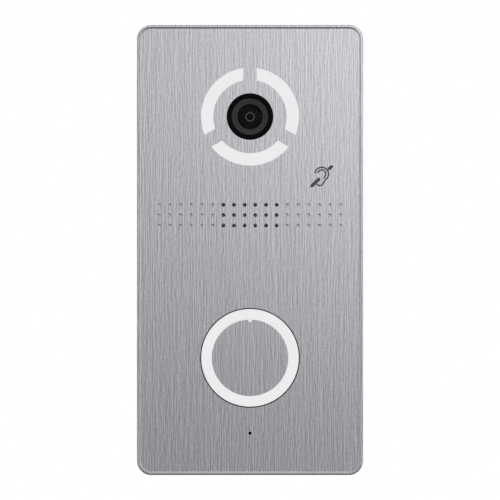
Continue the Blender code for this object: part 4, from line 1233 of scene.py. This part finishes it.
def build_stage():
    """A pale floor far below the panel, which hangs in the air as it would on its wall."""
    paint = grained("floor_paint", (3, 3.0), [(0.3, grey(0.74)), (0.7, grey(0.78))], 0.7)
    bm = bmesh.new()
    bmesh.ops.create_circle(bm, cap_ends=True, segments=96, radius=3.0)
    bmesh.ops.translate(bm, verts=bm.verts, vec=(0, 0, PANEL_Z - 0.6))
    floor = place("floor", bm, paint)
    floor.visible_glossy = False


def build_world():
    """White for the camera. The light is graded from below to above, and even at the sides."""
    world = bpy.data.worlds.new("studio")
    bpy.context.scene.world = world
    world.use_nodes = True
    tree = world.node_tree
    tree.nodes.clear()
    link = tree.links.new
    direction = add_node(tree, "TexCoord").outputs["Generated"]
    split = add_node(tree, "SeparateXYZ")
    link(direction, split.inputs["Vector"])

    height = add_node(tree, "MapRange", From_Min=-1.0)
    ramp = add_node(tree, "ValToRGB")
    levels = [
        (0.0, 0.25), (0.3, 0.05), (0.44, 0.28), (0.56, 0.52), (0.7, 0.29), (0.85, 0.57),
        (1.0, 0.87),
    ]
    set_stops(ramp, [(position, (level, level, level * 1.02)) for position, level in levels])
    link(split.outputs["Z"], height.inputs["Value"])
    link(height.outputs["Result"], ramp.inputs["Fac"])

    width = add_node(tree, "Math")
    width.operation = "ABSOLUTE"
    side = add_node(tree, "MapRange", From_Min=0.4, From_Max=0.7)
    wash = add_node(tree, "MixRGB", Color2=(0.62, 0.62, 0.63, 1))
    link(split.outputs["X"], width.inputs[0])
    link(width.outputs["Value"], side.inputs["Value"])
    link(side.outputs["Result"], wash.inputs["Fac"])
    link(ramp.outputs["Color"], wash.inputs["Color1"])

    seen = add_node(tree, "Background", Color=(1, 1, 1, 1))
    light = add_node(tree, "Background")
    mix = add_node(tree, "MixShader")
    link(wash.outputs["Color"], light.inputs["Color"])
    link(add_node(tree, "LightPath").outputs["Is Camera Ray"], mix.inputs["Fac"])
    link(light.outputs["Background"], mix.inputs[1])
    link(seen.outputs["Background"], mix.inputs[2])
    link(mix.outputs["Shader"], add_node(tree, "OutputWorld").inputs["Surface"])


def add_softbox(name, centre, size, power):
    """A lamp that faces the panel's middle."""
    light = bpy.data.lights.new(name, "AREA")
    light.shape = "RECTANGLE"
    light.size, light.size_y = size
    light.energy = power
    box = bpy.data.objects.new(name, light)
    bpy.context.scene.collection.objects.link(box)
    box.location = centre
    aim = Vector((0, 0, PANEL_Z)) - Vector(centre)
    box.rotation_euler = aim.to_track_quat("-Z", "Y").to_euler()
    box.visible_camera = False


def build_camera_view():
    """Straight in front of the panel's middle. A long lens keeps the sides parallel."""
    distance = 2.6
    share = 0.9002  # of the picture's height that the panel fills
    seen_height = 2 * HALF_Z / share
    data = bpy.data.cameras.new("view")
    data.sensor_width = 36.0
    data.lens = data.sensor_width * distance / seen_height
    data.clip_end = 20.0
    camera = bpy.data.objects.new("view", data)
    bpy.context.scene.collection.objects.link(camera)
    camera.location = (0, FACE_Y - distance, PANEL_Z)
    camera.rotation_euler = (radians(90), 0, 0)
    bpy.context.scene.camera = camera


build_camera_view()
paint_nodes()
build_tray()
build_security_screws()
build_light_guide()
build_camera()
build_button()
build_microphone()
build_sign()
build_housing()
build_bracket()
build_network_socket()
build_terminals()
build_tamper_button()

bpy.context.scene.view_settings.view_transform = "Standard"
build_stage()
build_world()
add_softbox("key_light", (0.3, -1.4, PANEL_Z + 0.3), (0.6, 0.6), 1.4)
add_softbox("side_light", (0.5, -1.0, PANEL_Z + 0.15), (0.7, 0.5), 0.55)
add_softbox("back_light", (-0.6, 0.9, PANEL_Z + 1.1), (0.8, 0.8), 6.0)
